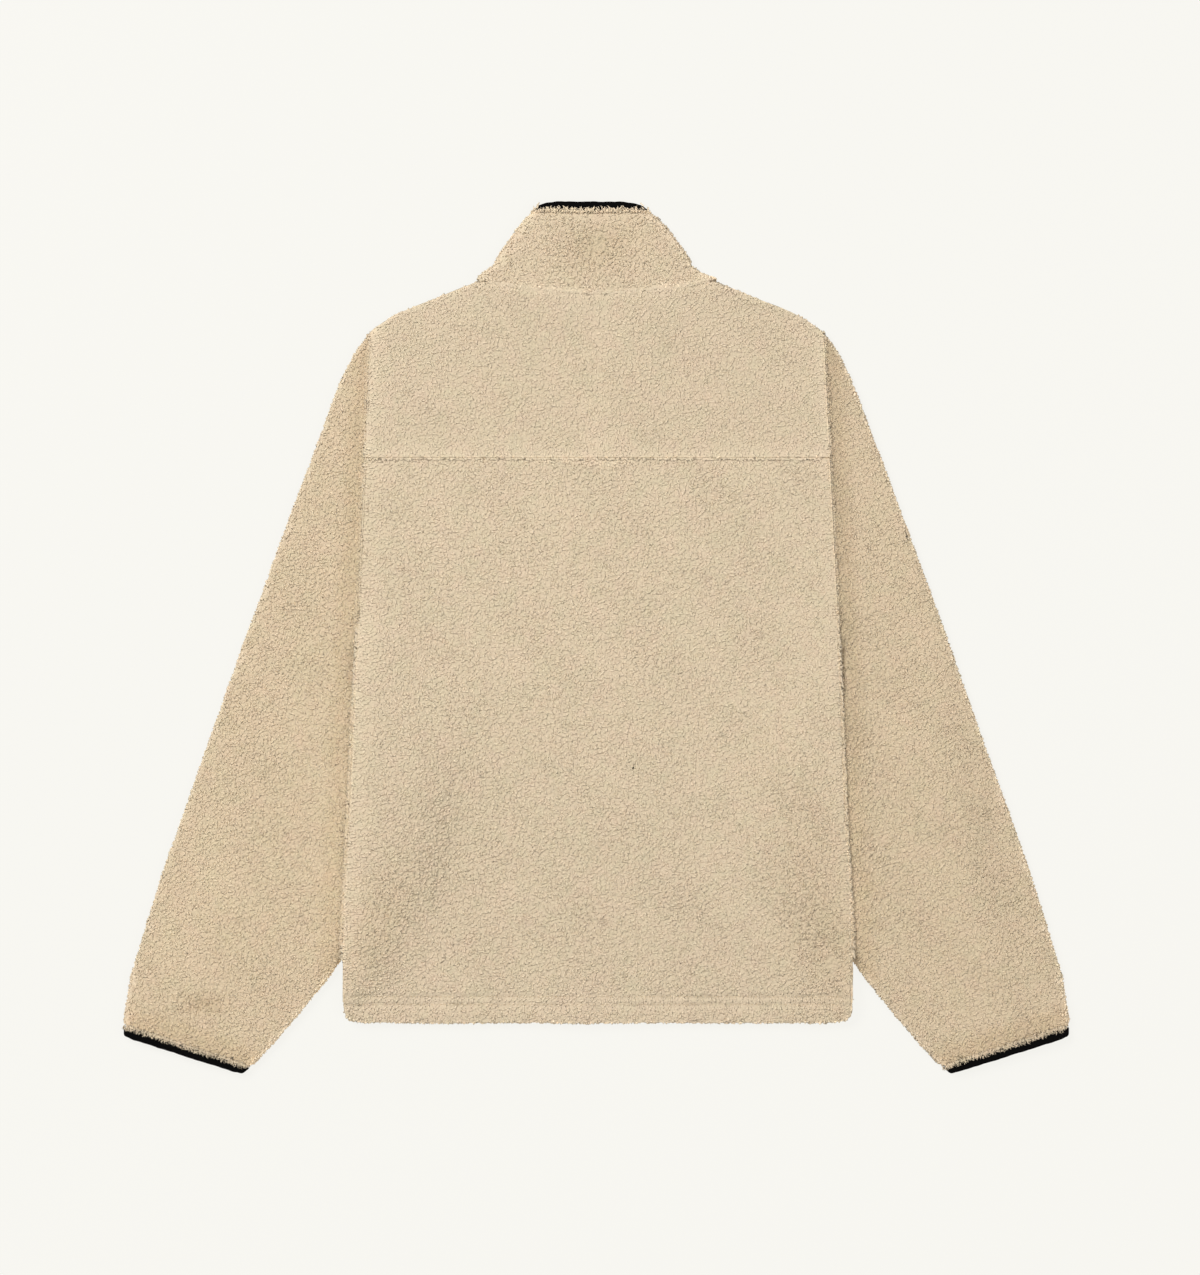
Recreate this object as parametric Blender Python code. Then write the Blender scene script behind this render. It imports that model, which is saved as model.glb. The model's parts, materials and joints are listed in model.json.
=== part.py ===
"""Fleece jacket lying flat, face down, with its back up.

Sizes are in millimetres. x runs across the jacket from its centre line, h is the height
above the hem line towards the collar, and z is the height above the surface it lies on.
The cloth lies in two layers, front below and back above. The sleeves lie on the surface
too, so below the armpits the body lifts over the inner part of each sleeve.
"""
import math
from collections import namedtuple

import bmesh
import bpy
from mathutils import Matrix, Vector

MM = 0.001

# Cloth
WALL = 5.0                      # fleece with its curled pile
LAYER_GAP = 0.4                 # between two layers that lie on each other
SEAM_GAP = 0.4                  # between two pieces at a seam
MIDDLE = WALL + LAYER_GAP / 2   # height of the plane between front and back
ROLL = WALL + LAYER_GAP / 2     # outer radius of an edge where two layers meet
ROLL_INSETS = (0.5 * ROLL, 0.18 * ROLL, 0.0)    # places that round such an edge
ROLL_START = 0.034              # share of the roll that the seam itself cuts off

# Heights above the hem line
ARMPIT = 383.5
YOKE_SEAM = 531.0
SHOULDER_END = 649.5
NECK_SIDE = 698.5
BACK_NECK = 685.3
FRONT_NECK = 648.0

# Half widths
ZIP_CHANNEL = 7.0               # front edges stand this far from the centre line
NECK_HALF = 109.0
FRONT_SCOOP = 1.8               # power of the curve that the front neck seam follows
COLLAR_HALF = 107.0
COLLAR_GAP = 3.2                # room inside the flattened collar for the slider
COLLAR_ROLL = WALL + COLLAR_GAP / 2
COLLAR_FLAT = COLLAR_HALF - COLLAR_ROLL

# Hem
HEM_CORNER = 12.0
HEM_INSETS = (0.0, 1.0, 3.0)
HEM_THIN = 1.4                  # how much each face comes in at the hem's folded edge

# Where a rolled seam turns into a flat one
ARMPIT_BLEND = 20.0             # height below the armpit over which the side seam's roll fades
SHOULDER_ROLL = 96.0            # the shoulder seam starts to roll this far from the centre
SHOULDER_BLEND = 16.0

SideRow = namedtuple("SideRow", "height left right")
SIDES = (
    SideRow(0.0, 236.5, 240.0),
    SideRow(25.0, 238.4, 240.8),
    SideRow(78.0, 238.6, 241.1),
    SideRow(134.4, 236.4, 239.2),
    SideRow(190.8, 232.7, 234.5),
    SideRow(303.6, 228.2, 230.8),
    SideRow(ARMPIT, 224.0, 226.8),
    SideRow(SHOULDER_END, 212.0, 213.6),
)

ShoulderRow = namedtuple("ShoulderRow", "x height")
SHOULDER = (
    ShoulderRow(NECK_HALF, NECK_SIDE),
    ShoulderRow(187.0, 667.2),
    ShoulderRow(201.0, 659.0),
    ShoulderRow(213.0, SHOULDER_END),
)

# Columns of a body panel: fixed ones out to the neck point, then shares of the way to the side
NECK_COLUMNS = (ZIP_CHANNEL, 35.0, 65.0, COLLAR_FLAT, NECK_HALF)
SIDE_SHARES = (0.22, 0.38, 0.51, 0.64, 0.76, 0.88, 1.0)

# Rows of a body panel
LOWER_ROWS = (20.0, 57.0, 95.0, 133.0, 171.0, 209.0, 247.0, 285.0, 320.0, 352.0, ARMPIT)
UPPER_ROWS = (430.0, 480.0)
YOKE_SHARES = (0.0, 0.09, 0.35, 0.65, 0.9)
FRONT_SHARES = (0.18, 0.38, 0.58, 0.78, 0.93)

# Broad soft folds of the back: centre, direction in degrees, half length, half width, rise
Fold = namedtuple("Fold", "x height direction length width rise")
FOLDS = (
    Fold(-178.0, 80.0, 65.0, 75.0, 22.0, 2.4),
    Fold(-120.0, 190.0, 58.0, 90.0, 26.0, 1.6),
    Fold(182.0, 72.0, 112.0, 70.0, 24.0, 2.0),
    Fold(128.0, 200.0, 120.0, 80.0, 28.0, 1.2),
)

# Sleeves: outer and inner edges from shoulder and armpit to the cuff, right side
EdgePoint = namedtuple("EdgePoint", "x height")
SLEEVE_OUTER = (
    EdgePoint(214.0, SHOULDER_END),
    EdgePoint(221.8, 640.5),
    EdgePoint(228.9, 628.0),
    EdgePoint(240.2, 604.5),
    EdgePoint(261.3, 548.0),
    EdgePoint(323.8, 378.8),
    EdgePoint(403.7, 153.2),
    EdgePoint(436.5, 50.0),
    EdgePoint(443.8, 22.0),
    EdgePoint(444.4, -10.4),
)
SLEEVE_INNER = (
    EdgePoint(220.9, 303.6),
    EdgePoint(202.1, 266.0),
    EdgePoint(188.0, 228.4),
    EdgePoint(184.2, 190.8),
    EdgePoint(189.9, 153.2),
    EdgePoint(204.9, 115.6),
    EdgePoint(240.6, 57.3),
    EdgePoint(275.9, 12.2),
    EdgePoint(313.0, -30.5),
    EdgePoint(331.0, -46.8),
)
UNDERARM_CLEAR = 0.6            # underarm fold from the body's side, just below the armpit
UNDERARM_HEIGHTS = (355.0, 330.0)
SHOULDER_SHIFT = 40.0           # the sleeve's top meets the body's own edge over this height

# Rings of a sleeve: share of the way to the cuff, and how far the ring bows square to its edges
RingRow = namedtuple("RingRow", "share bulge")
SLEEVE_RINGS = (
    RingRow(0.0, 0.0),
    RingRow(0.035, 0.25),
    RingRow(0.08, 0.45),
    RingRow(0.14, 0.6),
    RingRow(0.21, 0.6),
    RingRow(0.29, 0.55),
    RingRow(0.38, 0.5),
    RingRow(0.48, 0.45),
    RingRow(0.58, 0.4),
    RingRow(0.68, 0.35),
    RingRow(0.78, 0.25),
    RingRow(0.87, 0.15),
    RingRow(0.94, 0.05),
    RingRow(1.0, 0.0),
)
SLEEVE_FLAT = 6                 # flat stretches between the two folded edges
PATH_STEPS = 24                 # straight steps of a ring's plan curve
FOLD_TIP = 1.0                  # how far the slit inside a sleeve reaches into its folded edge
CUFF_TAPER = 15.0               # fleece thins over this length, down to the bound edge

# Lift of the body over the sleeves
LIFT = 2 * WALL + LAYER_GAP + 0.4
LIFT_RAMP = 42.0
LIFT_MARGIN = 16.0
LIFT_DROP = 52.0

# Small rises of the back's cloth
ZIP_RISE = 1.4                  # over the zip's tapes
ZIP_RISE_HALF = 25.0
ZIP_RISE_REACH = 40.0
COLLAR_RISE = COLLAR_GAP - LAYER_GAP
COLLAR_REACH = 55.0
ARMHOLE_RISE = 2.0              # seam allowance turned under the body's edge
ARMHOLE_REACH = 25.0
YOKE_RISE = 1.2                 # seam allowance turned up under the yoke
YOKE_REACH = 14.0

# Collar rows from the neck seam to the top: outline half width, heights of its folded side,
# centre back and centre front, how square its edge is, and its lean to the left
CollarRow = namedtuple("CollarRow", "half_width side back front square lean")
COLLAR = (
    CollarRow(COLLAR_HALF, 0.0, 0.0, 0.0, 2.0, 0.0),
    CollarRow(106.0, 705.0, 692.5, 656.0, 2.0, 0.8),
    CollarRow(92.5, 718.0, 706.5, 672.0, 2.2, 2.2),
    CollarRow(81.8, 731.5, 722.0, 690.0, 2.5, 3.2),
    CollarRow(72.2, 745.5, 740.5, 708.0, 3.0, 4.0),
    CollarRow(62.0, 757.0, 757.5, 722.0, 3.5, 4.6),
    CollarRow(56.5, 762.0, 763.5, 728.5, 3.8, 5.2),
    CollarRow(50.2, 767.6, 771.6, 737.0, 4.0, 5.6),
)

# Elastic binding: a U section over the cloth's edge
BOUND_HALF = 0.8                # half thickness of the fleece inside it
BIND_INNER = 1.4
BIND_OUTER = 2.2
BIND_DEPTH = 8.6
BIND_BRIDGE = 0.8               # from the cloth's edge to the inside of the bridge
BIND_TURN = BIND_OUTER - BIND_INNER

# Zip
TAPE_NEAR = 1.7
TAPE_FAR = 20.0
TAPE_THICK = 0.8
TAPE_LOW = WALL + 0.3
TAPE_FOOT = 2.0
TAPE_TOP = 727.0
HINGE_HEIGHT = 715.0            # along the jacket
HINGE_Z = 2.45                  # above the surface

# Blocks of the slider and the pull: x, place along the jacket from the hinge, and z
Block = namedtuple("Block", "x_from x_to low high z_from z_to round")
OUTER_PLATE = Block(-4.4, 4.4, -4.0, 6.5, 3.3, 4.4, 1.6)
INNER_PLATE = Block(-4.2, 4.2, -4.0, 6.5, 7.0, 7.9, 1.6)
POST = Block(-1.0, 1.0, 2.0, 5.5, 4.1, 7.3, 0.0)
BAIL = (
    Block(-0.8, 0.8, -2.7, 5.1, 0.6, 1.7, 0.0),
    Block(-0.8, 0.8, -2.7, -1.6, 1.4, 3.6, 0.0),
    Block(-0.8, 0.8, 4.0, 5.1, 1.4, 3.6, 0.0),
)
TAB = Block(-2.5, 2.5, -29.0, -6.0, 0.3, 1.5, 1.2)
ARMS = (
    Block(-2.1, -1.1, -7.2, 0.0, 2.0, 2.9, 0.0),
    Block(1.1, 2.1, -7.2, 0.0, 2.0, 2.9, 0.0),
)
ARM_DROP = 1.5                  # the arms come down to the tab by this much
CROSSBAR_RADIUS = 0.45
CROSSBAR_LENGTH = 4.0

# The jacket's own frame: centre of its box in plan
TOP = 773.2
BOTTOM = -48.4
MID_HEIGHT = (TOP + BOTTOM) / 2

COLOURS = {
    "fleece": ((0.66, 0.54, 0.38), 0.95, 0.0),
    "elastic": ((0.010, 0.010, 0.011), 0.75, 0.0),
    "zip_tape": ((0.60, 0.50, 0.36), 0.85, 0.0),
    "zip_metal": ((0.05, 0.05, 0.055), 0.38, 0.9),
}


# ---- helpers -------------------------------------------------------------------------------

def ease(share):
    """Smooth step from 0 to 1."""
    share = min(max(share, 0.0), 1.0)
    return share * share * (3 - 2 * share)


def mix(low, high, share):
    return low + (high - low) * share


def read_rows(rows, key, column, at):
    """Value of a column where the key column equals `at`, straight between rows."""
    first = rows[0]
    for row in rows[1:]:
        if at <= getattr(row, key) or row is rows[-1]:
            span = getattr(row, key) - getattr(first, key)
            share = min(max((at - getattr(first, key)) / span, 0.0), 1.0)
            return mix(getattr(first, column), getattr(row, column), share)
        first = row
    return getattr(first, column)


def smooth_curve(points, steps=12):
    """Points of a smooth curve through the given plan points."""
    points = [Vector((point[0], point[1])) for point in points]
    slopes = [points[1] - points[0]]
    for before, after in zip(points, points[2:]):
        slopes.append((after - before) / 2)
    slopes.append(points[-1] - points[-2])
    result = []
    for index in range(len(points) - 1):
        start, end = points[index], points[index + 1]
        for step in range(steps):
            result.append(hermite(start, end, slopes[index], slopes[index + 1], step / steps))
    result.append(points[-1])
    return result


def hermite(start, end, leave, arrive, t):
    a = 2 * t**3 - 3 * t**2 + 1
    b = t**3 - 2 * t**2 + t
    c = 3 * t**2 - 2 * t**3
    d = t**3 - t**2
    return start * a + leave * b + end * c + arrive * d


def curve_length(curve):
    return sum((b - a).length for a, b in zip(curve, curve[1:]))


def curve_at(curve, distance):
    """Point and direction at a distance along a curve."""
    for a, b in zip(curve, curve[1:]):
        step = (b - a).length
        if distance <= step or b is curve[-1]:
            return a + (b - a) * min(distance / step, 1.0), (b - a).normalized()
        distance -= step
    raise ValueError("distance is past the curve")


def place(x, h, z):
    """A point of the jacket in the part's frame, in metres."""
    return Vector((x * MM, (h - MID_HEIGHT) * MM, z * MM))


def material(name):
    found = bpy.data.materials.get(name)
    if found:
        return found
    colour, roughness, metallic = COLOURS[name]
    made = bpy.data.materials.new(name)
    made.use_nodes = True
    shader = made.node_tree.nodes["Principled BSDF"]
    shader.inputs["Base Color"].default_value = (*colour, 1.0)
    shader.inputs["Roughness"].default_value = roughness
    shader.inputs["Metallic"].default_value = metallic
    made.diffuse_color = (*colour, 1.0)
    return made


def add_object(name, points, faces, finish, sharp=math.radians(40)):
    mesh = bpy.data.meshes.new(name)
    mesh.from_pydata(points, [], faces)
    shaped = bmesh.new()
    shaped.from_mesh(mesh)
    bmesh.ops.recalc_face_normals(shaped, faces=shaped.faces)
    shaped.to_mesh(mesh)
    shaped.free()
    mesh.shade_smooth()
    mesh.set_sharp_from_angle(angle=sharp)
    mesh.materials.append(material(finish))
    piece = bpy.data.objects.new(name, mesh)
    bpy.context.scene.collection.objects.link(piece)
    return piece


def add_wall(name, one_side, other_side, finish, ring=False):
    """A closed wall between two grids of points; `ring` joins each row's ends."""
    rows, columns = len(one_side), len(one_side[0])
    points = [point for grid in (one_side, other_side) for row in grid for point in row]
    far = rows * columns
    spans = columns if ring else columns - 1

    def corner(row, column):
        return row * columns + column % columns

    faces = []
    for row in range(rows - 1):
        for column in range(spans):
            a, b = corner(row, column), corner(row, column + 1)
            c, d = corner(row + 1, column + 1), corner(row + 1, column)
            for triangle in ((a, b, c), (a, c, d)):
                faces.append(triangle)
                faces.append([far + index for index in reversed(triangle)])
    rim = [(corner(0, column), corner(0, column + 1)) for column in range(spans)]
    rim += [(corner(rows - 1, column + 1), corner(rows - 1, column)) for column in range(spans)]
    if not ring:
        rim += [(corner(row + 1, 0), corner(row, 0)) for row in range(rows - 1)]
        rim += [(corner(row, columns - 1), corner(row + 1, columns - 1)) for row in range(rows - 1)]
    for a, b in rim:
        faces += [(b, a, far + a), (b, far + a, far + b)]
    return add_object(name, points, faces, finish)


def add_sweep(name, sections, rises, finish, ring=False):
    """A closed section carried along a path; `ring` joins the path's ends.

    `rises` says of each side of the section whether it runs towards the cloth's edge, so
    that its triangles lean the same way as the cloth's.
    """
    size = len(sections[0])
    points = [point for section in sections for point in section]
    count = len(sections)
    faces = []
    for index in range(count if ring else count - 1):
        here = index * size
        there = ((index + 1) % count) * size
        for side in range(size):
            after = (side + 1) % size
            a, b, c, d = here + side, here + after, there + after, there + side
            faces += [(a, b, c), (a, c, d)] if rises[side] else [(a, b, d), (b, c, d)]
    if not ring:
        faces.append(list(range(size)))
        faces.append(list(range((count - 1) * size, count * size)))
    return add_object(name, points, faces, finish)


# ---- outline of the body -------------------------------------------------------------------

def side_of(x):
    return "left" if x < 0 else "right"


def side_edge(side, h):
    """Half width of the body at a height."""
    return read_rows(SIDES, "height", side, h)


def neck_curve(half, front):
    if front:
        share = (half - ZIP_CHANNEL) / (NECK_HALF - ZIP_CHANNEL)
        return mix(FRONT_NECK, NECK_SIDE, share ** FRONT_SCOOP)
    return mix(BACK_NECK, NECK_SIDE, (half / NECK_HALF) ** 2)


def neck_line(x, front):
    """Height of the neck seam, straight between the panel's columns."""
    half = min(max(abs(x), ZIP_CHANNEL), NECK_HALF)
    for a, b in zip(NECK_COLUMNS, NECK_COLUMNS[1:]):
        if half <= b:
            share = (half - a) / (b - a)
            return mix(neck_curve(a, front), neck_curve(b, front), share)
    return NECK_SIDE


def top_line(x, front):
    """Height of the panel's top edge: neck seam, then shoulder seam."""
    if abs(x) <= NECK_HALF:
        return neck_line(x, front)
    return read_rows(SHOULDER, "x", "height", abs(x))


def bottom_line(inset):
    """Height of the hem at a distance in from the side: the corner is rounded."""
    run = max(1 - inset / HEM_CORNER, 0.0)
    return HEM_CORNER * (1 - math.sqrt(1 - run**2))


def column_x(column, side, h):
    """Half width of a panel's column at a height."""
    edge = side_edge(side, min(h, SHOULDER_END))
    if column < len(NECK_COLUMNS):
        return NECK_COLUMNS[column]
    column -= len(NECK_COLUMNS)
    if column < len(SIDE_SHARES):
        return mix(NECK_HALF, edge - ROLL, SIDE_SHARES[column])
    return edge - ROLL_INSETS[column - len(SIDE_SHARES)]


COLUMN_COUNT = len(NECK_COLUMNS) + len(SIDE_SHARES) + len(ROLL_INSETS)


# ---- heights of the body's layers ----------------------------------------------------------

def sleeve_inner(side):
    """Inner edge of a sleeve from armpit to cuff, right side."""
    start = EdgePoint(side_edge(side, ARMPIT) + SEAM_GAP, ARMPIT)
    below = [EdgePoint(side_edge(side, h) + UNDERARM_CLEAR, h) for h in UNDERARM_HEIGHTS]
    return smooth_curve([start, *below, *SLEEVE_INNER])


def reach_of(curve, h):
    """Where a falling curve passes a height."""
    for a, b in zip(curve, curve[1:]):
        if b.y <= h <= a.y:
            return mix(a.x, b.x, (a.y - h) / (a.y - b.y))
    return curve[0].x if h > curve[0].y else curve[-1].x


INNER_EDGES = {side: sleeve_inner(side) for side in ("left", "right")}


def lift(x, h):
    """How far the body is raised by the sleeve under it."""
    reach = reach_of(INNER_EDGES[side_of(x)], h)
    across = ease((abs(x) - reach + LIFT_MARGIN + LIFT_RAMP) / LIFT_RAMP)
    return LIFT * across * ease((ARMPIT - h) / LIFT_DROP)


def rounding(inset):
    """Rise of a rolled edge at a distance in from it, as a share of its full height."""
    run = min(max(inset / ROLL, ROLL_START), 1.0)
    return math.sqrt(1 - (1 - run) ** 2)


def edge_profile(x, h, front):
    """Share of the full height left by the rolled side and shoulder seams."""
    side = side_of(x)
    side_weight = ease((ARMPIT - h) / ARMPIT_BLEND)
    side_share = 1 - side_weight * (1 - rounding(side_edge(side, h) - abs(x)))
    shoulder_weight = ease((abs(x) - SHOULDER_ROLL) / SHOULDER_BLEND)
    shoulder_share = 1 - shoulder_weight * (1 - rounding(top_line(x, front) - h))
    return min(side_share, shoulder_share)


def hem_thinning(h, floor):
    """How far each face comes in towards the hem's folded edge."""
    share = min(max((h - floor) / HEM_INSETS[-1], 0.0), 1.0)
    return HEM_THIN * (1 - math.sqrt(1 - (1 - share) ** 2))


def fold_rise(x, h):
    total = 0.0
    for fold in FOLDS:
        turn = math.radians(fold.direction)
        dx, dh = x - fold.x, h - fold.height
        along = (dx * math.cos(turn) + dh * math.sin(turn)) / fold.length
        across = (dh * math.cos(turn) - dx * math.sin(turn)) / fold.width
        total += fold.rise * math.exp(-along**2 - across**2)
    return total


def back_rise(x, h, yoke):
    """Rise of the back layer above lying flat on the front."""
    over_zip = ZIP_RISE * (1 - ease((abs(x) - ZIP_RISE_HALF) / ZIP_RISE_REACH))
    to_neck = math.hypot(max(abs(x) - COLLAR_FLAT, 0.0), max(neck_line(x, False) - h, 0.0))
    rise = mix(COLLAR_RISE, max(over_zip, fold_rise(x, h)), ease(to_neck / COLLAR_REACH))
    inset = side_edge(side_of(x), min(h, SHOULDER_END)) - abs(x)
    above_armpit = ease((h - ARMPIT + ARMPIT_BLEND) / ARMPIT_BLEND)
    rise += ARMHOLE_RISE * (1 - ease(inset / ARMHOLE_REACH)) * above_armpit
    if yoke:
        rise += YOKE_RISE * (1 - ease((h - YOKE_SEAM) / YOKE_REACH))
    return rise


def front_layer(x, h, floor):
    """Lower and upper face of the front at a plan point."""
    middle = MIDDLE + lift(x, h)
    share = edge_profile(x, h, True)
    thin = hem_thinning(h, floor) * share
    return middle - ROLL * share + thin, middle - LAYER_GAP / 2 - thin


def back_layer(x, h, floor, yoke):
    """Lower and upper face of the back at a plan point."""
    middle = MIDDLE + lift(x, h)
    share = edge_profile(x, h, False)
    rise = back_rise(x, h, yoke)
    thin = hem_thinning(h, floor) * share
    return middle + LAYER_GAP / 2 + rise * share + thin, middle + (ROLL + rise) * share - thin


# ---- body panels ---------------------------------------------------------------------------

def panel_heights(side, column, rows_to, shares, front, start=None):
    """Heights of a panel's rows along one column, from the hem or a seam up."""
    top = top_line(column_x(column, side, SHOULDER_END), front)
    heights = []
    if start is None:
        inset = side_edge(side, 0.0) - column_x(column, side, 0.0)
        floor = bottom_line(inset)
        heights += [floor + step for step in HEM_INSETS]
        heights += rows_to
        start = heights[-1]
    if shares:
        last = top - ROLL
        heights += [mix(start, last, share) for share in shares]
        heights += [top - inset for inset in (ROLL, *ROLL_INSETS)]
    return heights


def panel_grids(columns, heights_of, layer_of):
    """The two faces of a panel, a row for each height."""
    lower, upper = [], []
    for row in range(len(heights_of(*columns[0]))):
        lower_row, upper_row = [], []
        for sign, column in columns:
            side = side_of(sign)
            heights = heights_of(sign, column)
            h = heights[row]
            x = sign * column_x(column, side, h)
            low, high = layer_of(x, h, heights[0])
            lower_row.append(place(x, h, low))
            upper_row.append(place(x, h, high))
        lower.append(lower_row)
        upper.append(upper_row)
    return upper, lower


def back_columns():
    left = [(-1, column) for column in reversed(range(COLUMN_COUNT))]
    return left + [(1, column) for column in range(COLUMN_COUNT)]


def build_back_body():
    rows = [*LOWER_ROWS, *UPPER_ROWS, YOKE_SEAM - SEAM_GAP / 2]

    def heights(sign, column):
        return panel_heights(side_of(sign), column, rows, (), False)

    def layer(x, h, floor):
        return back_layer(x, h, floor, False)

    return add_wall("back_body", *panel_grids(back_columns(), heights, layer), "fleece")


def build_back_yoke():
    start = YOKE_SEAM + SEAM_GAP / 2

    def heights(sign, column):
        return panel_heights(side_of(sign), column, (), YOKE_SHARES, False, start)

    def layer(x, h, _):
        return back_layer(x, h, -HEM_INSETS[-1], True)

    return add_wall("back_yoke", *panel_grids(back_columns(), heights, layer), "fleece")


def build_front(sign):
    rows = list(LOWER_ROWS)

    def heights(_, column):
        return panel_heights(side_of(sign), column, rows, FRONT_SHARES, True)

    columns = [(sign, column) for column in range(COLUMN_COUNT)][::sign]
    name = "front_" + side_of(sign)
    return add_wall(name, *panel_grids(columns, heights, front_layer), "fleece")


# ---- sleeves -------------------------------------------------------------------------------

def sleeve_path(outer, outer_way, inner, inner_way, bulge):
    """Plan curve of a ring from the outer to the inner edge, square to both where it bulges."""
    chord = inner - outer
    square_out = Vector((outer_way.y, -outer_way.x)) * chord.length
    square_in = Vector((inner_way.y, -inner_way.x)) * chord.length
    leave = chord.lerp(square_out, bulge)
    arrive = chord.lerp(square_in, bulge)
    steps = range(PATH_STEPS + 1)
    return [hermite(outer, inner, leave, arrive, step / PATH_STEPS) for step in steps]


def sleeve_paths(side):
    """Plan curve of each ring from armhole to cuff. The last three lie square to the cuff."""
    outer = smooth_curve(SLEEVE_OUTER)
    shift = side_edge(side, SHOULDER_END) + SEAM_GAP - outer[0].x
    for point in outer:
        point.x += shift * (1 - ease((SHOULDER_END - point.y) / SHOULDER_SHIFT))
    inner = INNER_EDGES[side]
    stations = [(row.share, CUFF_TAPER, row.bulge) for row in SLEEVE_RINGS]
    stations += [(1.0, BIND_DEPTH, 0.0), (1.0, 0.0, 0.0)]
    paths = []
    for share, end, bulge in stations:
        ends = [curve_at(edge, (curve_length(edge) - end) * share) for edge in (outer, inner)]
        paths.append(sleeve_path(*ends[0], *ends[1], bulge))
    return paths


def ring_places(flat):
    """Places round a flattened ring: share of the way across, and turn of its folded edge."""
    lower = [(step / flat, -90.0) for step in range(flat + 1)]
    upper = [(step / flat, 90.0) for step in reversed(range(flat + 1))]
    turns = (-45.0, 0.0, 45.0)
    return lower + [(1.0, turn) for turn in turns] + upper + [(0.0, turn) for turn in reversed(turns)]


def sleeve_ring(path, half, sign, tip=None):
    """Points round a ring, `half` out from the middle of its cloth."""
    radius = (WALL + LAYER_GAP) / 2 + half
    length = curve_length(path)
    points = []
    for share, turn in ring_places(SLEEVE_FLAT):
        out = math.cos(math.radians(turn)) * (tip or radius)
        distance = mix(ROLL, length - ROLL, share) + (out if share else -out)
        point, _ = curve_at(path, distance)
        points.append(place(sign * point.x, point.y, MIDDLE + math.sin(math.radians(turn)) * radius))
    return points


def build_sleeve(sign):
    side = side_of(sign)
    *full, near, end = sleeve_paths(side)
    outside = [sleeve_ring(path, WALL / 2, sign) for path in full]
    inside = [sleeve_ring(path, -WALL / 2, sign, FOLD_TIP) for path in full]
    outside += [sleeve_ring(path, BOUND_HALF, sign) for path in (near, end)]
    inside += [sleeve_ring(path, -BOUND_HALF, sign) for path in (near, end)]
    return add_wall("sleeve_" + side, outside, inside, "fleece", ring=True)


# ---- collar --------------------------------------------------------------------------------

def collar_places():
    """Places along the collar from the left front edge round the back to the right one."""
    flat = [column for column in NECK_COLUMNS if column <= COLLAR_FLAT]
    turns = (-45.0, 0.0, 45.0)
    left = [(-1, column, -90.0) for column in flat]
    left += [(-1, COLLAR_FLAT, turn) for turn in turns]
    left += [(-1, column, 90.0) for column in reversed(flat)]
    return left + [(1, column, turn) for _, column, turn in reversed(left)]


def collar_point(row, sign, column, turn, half):
    """A point of the collar, `half` out from the middle of its cloth."""
    radius = (WALL + COLLAR_GAP) / 2 + half
    share = (column - ZIP_CHANNEL) / (COLLAR_FLAT - ZIP_CHANNEL)
    flat_x = mix(ZIP_CHANNEL, row.half_width - COLLAR_ROLL, share)
    out = math.cos(math.radians(turn))
    reach = flat_x + out * COLLAR_ROLL
    front = turn < 0
    if row is COLLAR[0]:
        h = neck_line(reach, front) + SEAM_GAP
    elif front:
        along = (reach - ZIP_CHANNEL) / (row.half_width - ZIP_CHANNEL)
        h = mix(row.front, row.side, along ** FRONT_SCOOP)
    else:
        h = mix(row.back, row.side, (reach / row.half_width) ** row.square)
    lean = row.lean * (share if front else 1.0)
    z = WALL + COLLAR_GAP / 2 + math.sin(math.radians(turn)) * radius
    return place(sign * (flat_x + out * radius) - lean, h, z)


def collar_row(row, half):
    return [collar_point(row, *spot, half) for spot in collar_places()]


def build_collar():
    halves = [WALL / 2] * (len(COLLAR) - 2) + [BOUND_HALF] * 2
    outside = [collar_row(row, half) for row, half in zip(COLLAR, halves)]
    inside = [collar_row(row, -half) for row, half in zip(COLLAR, halves)]
    return add_wall("collar", outside, inside, "fleece")


# ---- bindings ------------------------------------------------------------------------------

def bind(name, end_row, near_row, ring):
    """U section over a cloth's edge. Each row function gives points for a half thickness.

    A corner says how far out from the cloth's middle it is, and how far past the cloth's end.
    The open edges of the U lie along the near row.
    """
    past = BIND_BRIDGE + BIND_TURN
    corners = ((BIND_OUTER, None), (BIND_OUTER, past), (-BIND_OUTER, past), (-BIND_OUTER, None),
               (-BIND_INNER, None), (-BIND_INNER, BIND_BRIDGE), (BIND_INNER, BIND_BRIDGE),
               (BIND_INNER, None))
    sections = []
    for middle, outside, near in zip(end_row(0.0), end_row(BOUND_HALF), near_row(0.0)):
        out = (outside - middle).normalized() * MM
        along = (middle - near).normalized() * MM
        feet = [near if up is None else middle + along * up for _, up in corners]
        sections.append([foot + out * across for foot, (across, _) in zip(feet, corners)])
    ups = [up for _, up in corners]
    rises = [up is None and after is not None for up, after in zip(ups, ups[1:] + ups[:1])]
    return add_sweep(name, sections, rises, "elastic", ring)


def build_cuff_binding(sign):
    side = side_of(sign)
    near, end = sleeve_paths(side)[-2:]
    return bind("cuff_binding_" + side, lambda half: sleeve_ring(end, half, sign),
                lambda half: sleeve_ring(near, half, sign), True)


def build_collar_binding():
    return bind("collar_binding", lambda half: collar_row(COLLAR[-1], half),
                lambda half: collar_row(COLLAR[-2], half), False)


# ---- zip -----------------------------------------------------------------------------------

def block(name, low, high, finish, bevel=0.0):
    """A box between two corners (x, h, z), its upright edges rounded."""
    low, high = place(*low), place(*high)
    shaped = bmesh.new()
    size = Matrix.Diagonal((*(high - low), 1.0))
    bmesh.ops.create_cube(shaped, size=1.0, matrix=Matrix.Translation((low + high) / 2) @ size)
    if bevel:
        rise = (high - low).z
        upright = [edge for edge in shaped.edges
                   if abs(edge.verts[0].co.z - edge.verts[1].co.z) > rise / 2]
        bmesh.ops.bevel(shaped, geom=upright, offset=bevel * MM, segments=3, profile=0.5, affect="EDGES")
    return add_shape(name, shaped, finish)


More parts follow.
